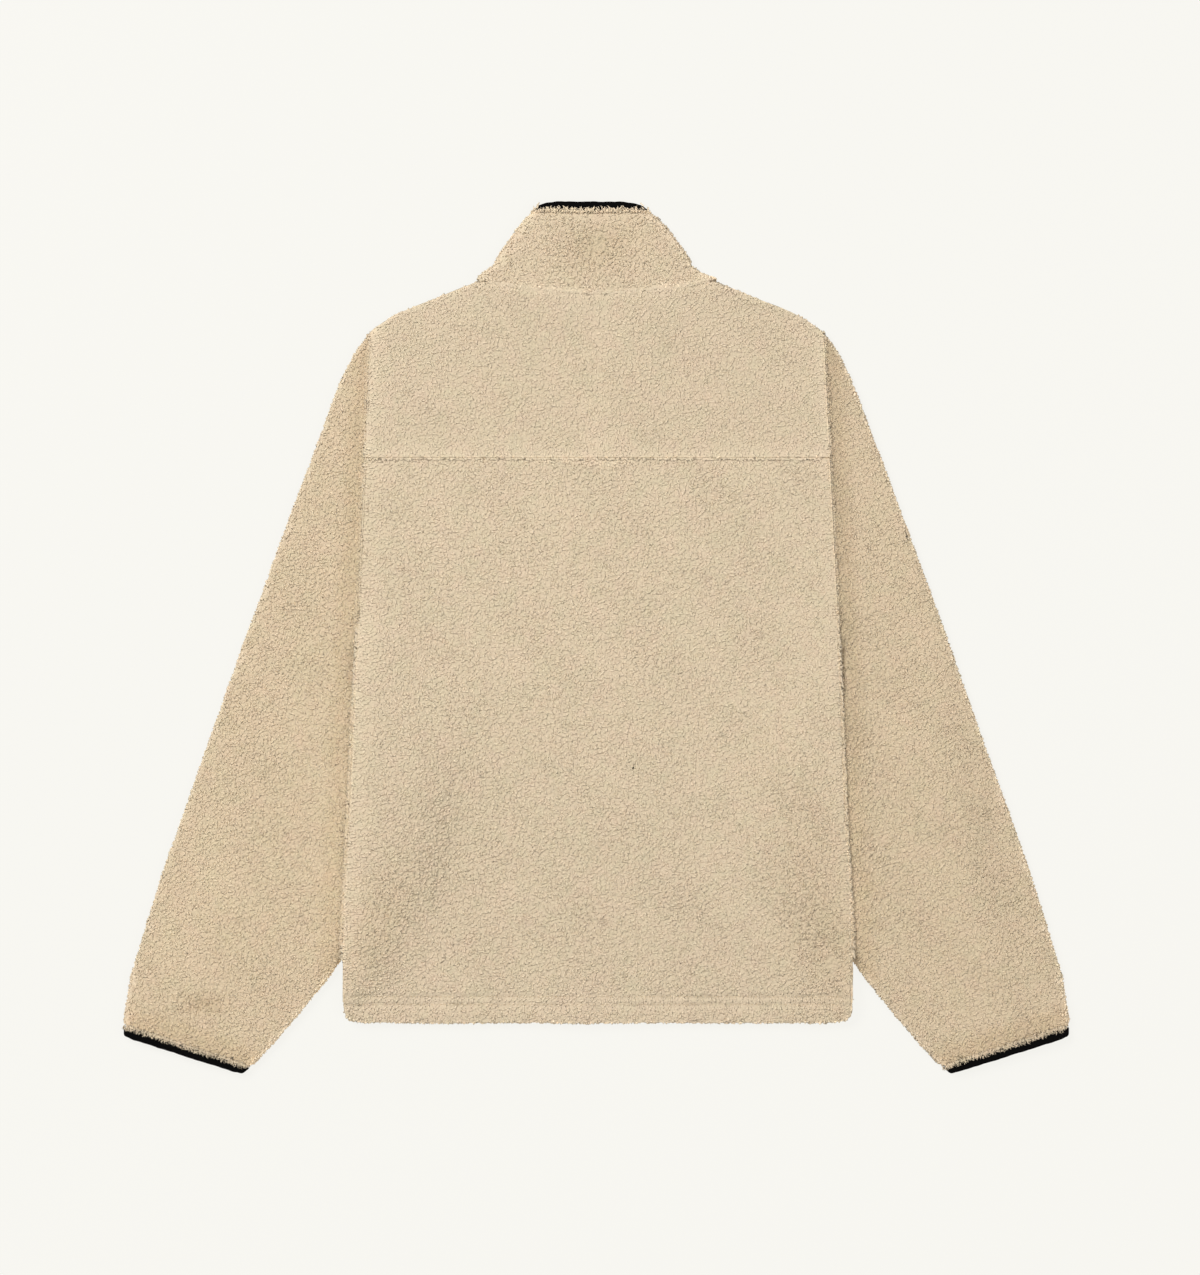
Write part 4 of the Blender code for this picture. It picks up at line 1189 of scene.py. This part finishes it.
def grow_pile(cloth, part, name, tree, shapes, settings, finish, seed):
    """The curls of a part of one piece of cloth as one plain mesh."""
    inputs = {
        "Curls": shapes, "Spacing": settings.spacing, "Edge spacing": settings.edge_spacing,
        "Under spacing": settings.under_spacing, "Fuzz spacing": settings.fuzz_spacing,
        "Length": settings.curl_length, "Width": settings.curl_width, "Height": settings.curl_height,
        "Seed": settings.seed + seed, "Material": finish}
    return bake_nodes(keep_part(cloth.data.copy(), *part), name, tree, inputs,
                      ("combed", "lay", "above", "edge", "below"))


def cloth_pieces():
    return [bpy.data.objects[node + "_cloth"] for node in FLEECE_NODES]


def stitch_places(side, cloths, settings):
    """Threads along the hem's rows on the back (side 1) or the fronts (side -1)."""
    draws = np.random.default_rng(5)
    places = []
    for row in HEM_STITCH_ROWS:
        for x in np.arange(*STITCH_SPAN, settings.stitch_pitch / MM):
            y = (row + HEM + draws.uniform(-0.2, 0.2)) * MM
            if side < 0 and abs(x) < ZIP_GAP:
                continue
            z = surface_z(cloths, x * MM, y, side)
            size = (0.66 * settings.stitch_pitch, settings.thread_width, 0.8 * settings.thread_width)
            places.append(Place((x * MM, y, z + 0.1 * MM * side), heading(draws.uniform(-7, 7)),
                                (0, 0, side), size, 0.0, 0.0))
    return places


def tooth_places(node, settings):
    """Teeth along the inner edge of a tape, up to the slider."""
    low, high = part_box(node)
    side = -1 if low.x < 0 else 1
    inner = min(abs(low.x), abs(high.x))
    lag = settings.tooth_pitch / 4 * side
    size = [part * MM for part in TOOTH]
    across, middle = side * (inner - 0.45 * MM), (low.z + high.z) / 2
    return [Place((across, y + lag, middle), (-side, 0, 0), (0, 0, 1), size, 0.0, 0.0)
            for y in np.arange(low.y + 4 * MM, SLIDER_FOOT, settings.tooth_pitch)]


def tooth_mesh():
    """A tooth of unit size with rounded edges, narrower at its head."""
    shaped = bmesh.new()
    bmesh.ops.create_cube(shaped, size=1.0)
    for vertex in shaped.verts:
        if vertex.co.x > 0:
            vertex.co.y *= 0.7
    bmesh.ops.bevel(shaped, geom=shaped.edges, offset=0.12, segments=1, affect="EDGES")
    bmesh.ops.triangulate(shaped, faces=shaped.faces)
    return finished_mesh(shaped, "tooth")


def build_band(node, cell, wave):
    """Woven band on its solid's form, with soft edges and faint waves."""
    mesh = split_copy(node, lambda x, height: cell)
    points = read_vectors(mesh.vertices, "co")
    if wave:
        even_out(mesh, points, np.ones(len(points), bool), 2)
    write_points(mesh, points)
    normals = vertex_normals(mesh)
    level = wave * wander(points[:, 0] / MM, points[:, 1] / MM, 16.0, 9)
    level[points[:, 2] < 1.0 * MM] = 0.0
    if node == "collar_binding":
        points[:, 1] -= top_press(points) * MM
    middle = points[:, :2].mean(axis=0)
    axes = np.linalg.svd(points[:, :2] - middle, full_matrices=False)[2]
    woven = np.column_stack([(points[:, :2] - middle) @ axes.T, points[:, 2]])
    points += normals * (level * MM)[:, None]
    write_points(mesh, points)
    write_attribute(mesh, "weave", woven, "FLOAT_VECTOR")
    mesh.shade_smooth()
    mesh.set_sharp_from_angle(angle=math.radians(50))
    return new_object(node + "_cloth", mesh)


# ---- operators -----------------------------------------------------------------------------

class JACKET_OT_stage(bpy.types.Operator):
    """Lay a pale floor, hang the soft lights and set the camera straight above"""
    bl_idname = "fleece_jacket.stage"
    bl_label = "Stage"

    def execute(self, context):
        settings = context.scene.fleece_jacket.stage
        shaped = bmesh.new()
        bmesh.ops.create_grid(shaped, x_segments=1, y_segments=1, size=4.0)
        for vertex in shaped.verts:
            vertex.co.z = -FLOOR_DROP
        floor = new_object("floor", finished_mesh(shaped, "floor"))
        finish = bpy.data.materials.new("pale floor")
        finish.use_nodes = True
        shader = finish.node_tree.nodes["Principled BSDF"]
        set_values(shader, {"Base Color": (*[0.05 * part for part in settings.floor], 1.0),
                            "Emission Color": (*settings.floor, 1.0), "Emission Strength": 0.925,
                            "Roughness": 0.9, "Specular IOR Level": 0.1})
        floor.data.materials.append(finish)
        for name, place, size, power in (
                ("key light", (-3.0, 2.6, 4.8), 3.4, settings.key),
                ("fill light", (3.2, -1.2, 5.2), 4.8, 0.42 * settings.key)):
            light = bpy.data.lights.new(name, "AREA")
            light.shape = "DISK"
            light.size = size
            light.energy = power
            lamp = bpy.data.objects.new(name, light)
            lamp.location = place
            lamp.rotation_euler = (-Vector(place)).to_track_quat("-Z", "Y").to_euler()
            context.scene.collection.objects.link(lamp)
        world = bpy.data.worlds.new("even light")
        world.use_nodes = True
        set_values(world.node_tree.nodes["Background"],
                   {"Color": (1.0, 0.99, 0.97, 1.0), "Strength": settings.sky})
        context.scene.world = world
        lens = bpy.data.cameras.new("camera")
        lens.sensor_width = 36.0
        lens.lens = lens.sensor_width * settings.camera_height / settings.view_height
        camera = bpy.data.objects.new("camera", lens)
        camera.location = (0.0034, 0.0, settings.camera_height)
        context.scene.collection.objects.link(camera)
        context.scene.camera = camera
        context.scene.view_settings.view_transform = "Standard"
        return {"FINISHED"}


class JACKET_OT_fleece(bpy.types.Operator):
    """Shape the cut pieces of fleece and grow the curled pile on them"""
    bl_idname = "fleece_jacket.fleece"
    bl_label = "Fleece"

    def execute(self, context):
        settings = context.scene.fleece_jacket.fleece
        ground = fleece_material("fleece ground", settings, GROUND_DEPTH, 1.0)
        curled = fleece_material("fleece curls", settings, "tip", 0.8)
        tree = pile_tree()
        shapes = shape_collection("curl", [curl_mesh(f"curl_{index}", curl, 2)
                                           for index, curl in enumerate(CURLS)])
        for index, node in enumerate(FLEECE_NODES):
            cloth = build_cloth(node, settings)
            cloth.data.materials.append(ground)
            place_on_body(cloth)
            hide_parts(node)
            for name, part in PILE_PARTS.get(node, {node + "_pile": WHOLE_HEIGHT}).items():
                pile = grow_pile(cloth, part, name, tree, shapes, settings, curled, 10 * index)
                place_on_body(pile)
        clear_collection(shapes)
        return {"FINISHED"}


class JACKET_OT_edges(bpy.types.Operator):
    """Lay short curls over the seams of the back and loose ones over the bindings"""
    bl_idname = "fleece_jacket.edges"
    bl_label = "Pile over seams and bindings"

    def execute(self, context):
        curled = bpy.data.materials["fleece curls"]
        cloths = search_tree(cloth_pieces())
        bands = search_tree([bpy.data.objects[node + "_cloth"] for node in BINDINGS])
        short = [curl_mesh(f"short_{index}", curl, 2) for index, curl in enumerate(CURLS)]
        loose = [curl_mesh(f"loose_{index}", curl, 3, 0.8) for index, curl in enumerate(WISPS)]
        for row in SEAM_ROWS:
            piece = place_shapes(row.node + "_seam_pile", short, curled, seam_places(row, cloths))
            place_on_body(piece)
        place_on_body(place_shapes("back_body_side_pile", short, curled, side_places(cloths)))
        for node in BINDINGS:
            piece = place_shapes(node + "_wisps", loose, curled, wisp_places(node, cloths, bands))
            place_on_body(piece)
        return {"FINISHED"}


class JACKET_OT_stitches(bpy.types.Operator):
    """Sew the two rows of stitches that hold up the hem's turn-up"""
    bl_idname = "fleece_jacket.stitches"
    bl_label = "Hem stitches"

    def execute(self, context):
        settings = context.scene.fleece_jacket.trim
        thread = woven_material("sewing thread", settings.thread, 1500.0, 0.2, 0.8, 0.4, None)
        cloths = search_tree(cloth_pieces())
        shapes = [curl_mesh("stitch", curl, 3) for curl in THREAD]
        for side, node in ((1, "back_body"), (-1, "fronts")):
            places = stitch_places(side, cloths, settings)
            place_on_body(place_shapes(node + "_stitches", shapes, thread, places))
        return {"FINISHED"}


class JACKET_OT_bindings(bpy.types.Operator):
    """Fold the black elastic over the edges of the collar and the cuffs"""
    bl_idname = "fleece_jacket.bindings"
    bl_label = "Elastic bindings"

    def execute(self, context):
        settings = context.scene.fleece_jacket.trim
        elastic = woven_material("ribbed elastic", settings.binding, 700.0, 0.35, 0.9, 0.6, "weave", 0.03)
        for node in BINDINGS:
            band = build_band(node, BAND_CELL, 0.25)
            band.data.materials.append(elastic)
            place_on_body(band)
            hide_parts(node)
        return {"FINISHED"}


class JACKET_OT_zip(bpy.types.Operator):
    """Weave the zip's tapes, set its teeth and finish its slider and pull"""
    bl_idname = "fleece_jacket.zip"
    bl_label = "Zip"

    def execute(self, context):
        settings = context.scene.fleece_jacket.trim
        woven = woven_material("zip tape", settings.tape, 1100.0, 0.12, 0.85, 0.5, "weave")
        moulded = hard_material("moulded teeth", settings.tape, 0.0, 0.45)
        metal = hard_material("black lacquer", settings.metal, 0.85, 0.36)
        for node in TAPES:
            tape = build_band(node, TAPE_CELL, 0.0)
            tape.data.materials.append(woven)
            place_on_body(tape)
            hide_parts(node)
            teeth = place_shapes(node + "_teeth", [tooth_mesh()], moulded, tooth_places(node, settings))
            place_on_body(teeth)
        for node in ("zip_slider", "zip_pull"):
            piece = frame["nodes"][node]
            piece.data.materials.clear()
            piece.data.materials.append(metal)
        return {"FINISHED"}


class JACKET_OT_lay(bpy.types.Operator):
    """Leave the cut pieces as they are: this step does nothing"""
    bl_idname = "fleece_jacket.lay"
    bl_label = "Lay the cut pieces"

    def execute(self, context):
        return {"FINISHED"}


class JACKET_PT_panel(bpy.types.Panel):
    """Lists the steps and the settings"""
    bl_label = "Fleece jacket"
    bl_idname = "JACKET_PT_panel"
    bl_space_type = "VIEW_3D"
    bl_region_type = "UI"
    bl_category = "Jacket"

    def draw(self, context):
        settings = context.scene.fleece_jacket
        for steps, group in PANEL_STEPS:
            box = self.layout.box()
            for step in steps:
                box.operator(step.bl_idname)
            for name in getattr(settings, group).bl_rna.properties.keys():
                if name not in ("rna_type", "name"):
                    box.prop(getattr(settings, group), name)


PANEL_STEPS = (
    ((JACKET_OT_stage,), "stage"),
    ((JACKET_OT_fleece,), "fleece"),
    ((JACKET_OT_bindings, JACKET_OT_edges, JACKET_OT_stitches, JACKET_OT_zip, JACKET_OT_lay), "trim"),
)
CLASSES = (JacketFleece, JacketTrim, JacketStage, JacketSettings, JACKET_OT_stage, JACKET_OT_fleece,
           JACKET_OT_edges, JACKET_OT_stitches, JACKET_OT_bindings, JACKET_OT_zip, JACKET_OT_lay,
           JACKET_PT_panel)


def register():
    for made in CLASSES:
        bpy.utils.register_class(made)
    bpy.types.Scene.fleece_jacket = PointerProperty(type=JacketSettings)


def unregister():
    del bpy.types.Scene.fleece_jacket
    for made in reversed(CLASSES):
        bpy.utils.unregister_class(made)


def main():
    register()
    bpy.ops.fleece_jacket.stage()
    bpy.ops.fleece_jacket.fleece()
    bpy.ops.fleece_jacket.bindings()
    bpy.ops.fleece_jacket.edges()
    bpy.ops.fleece_jacket.stitches()
    bpy.ops.fleece_jacket.zip()
    bpy.ops.fleece_jacket.lay()


if __name__ == "__main__":
    main()
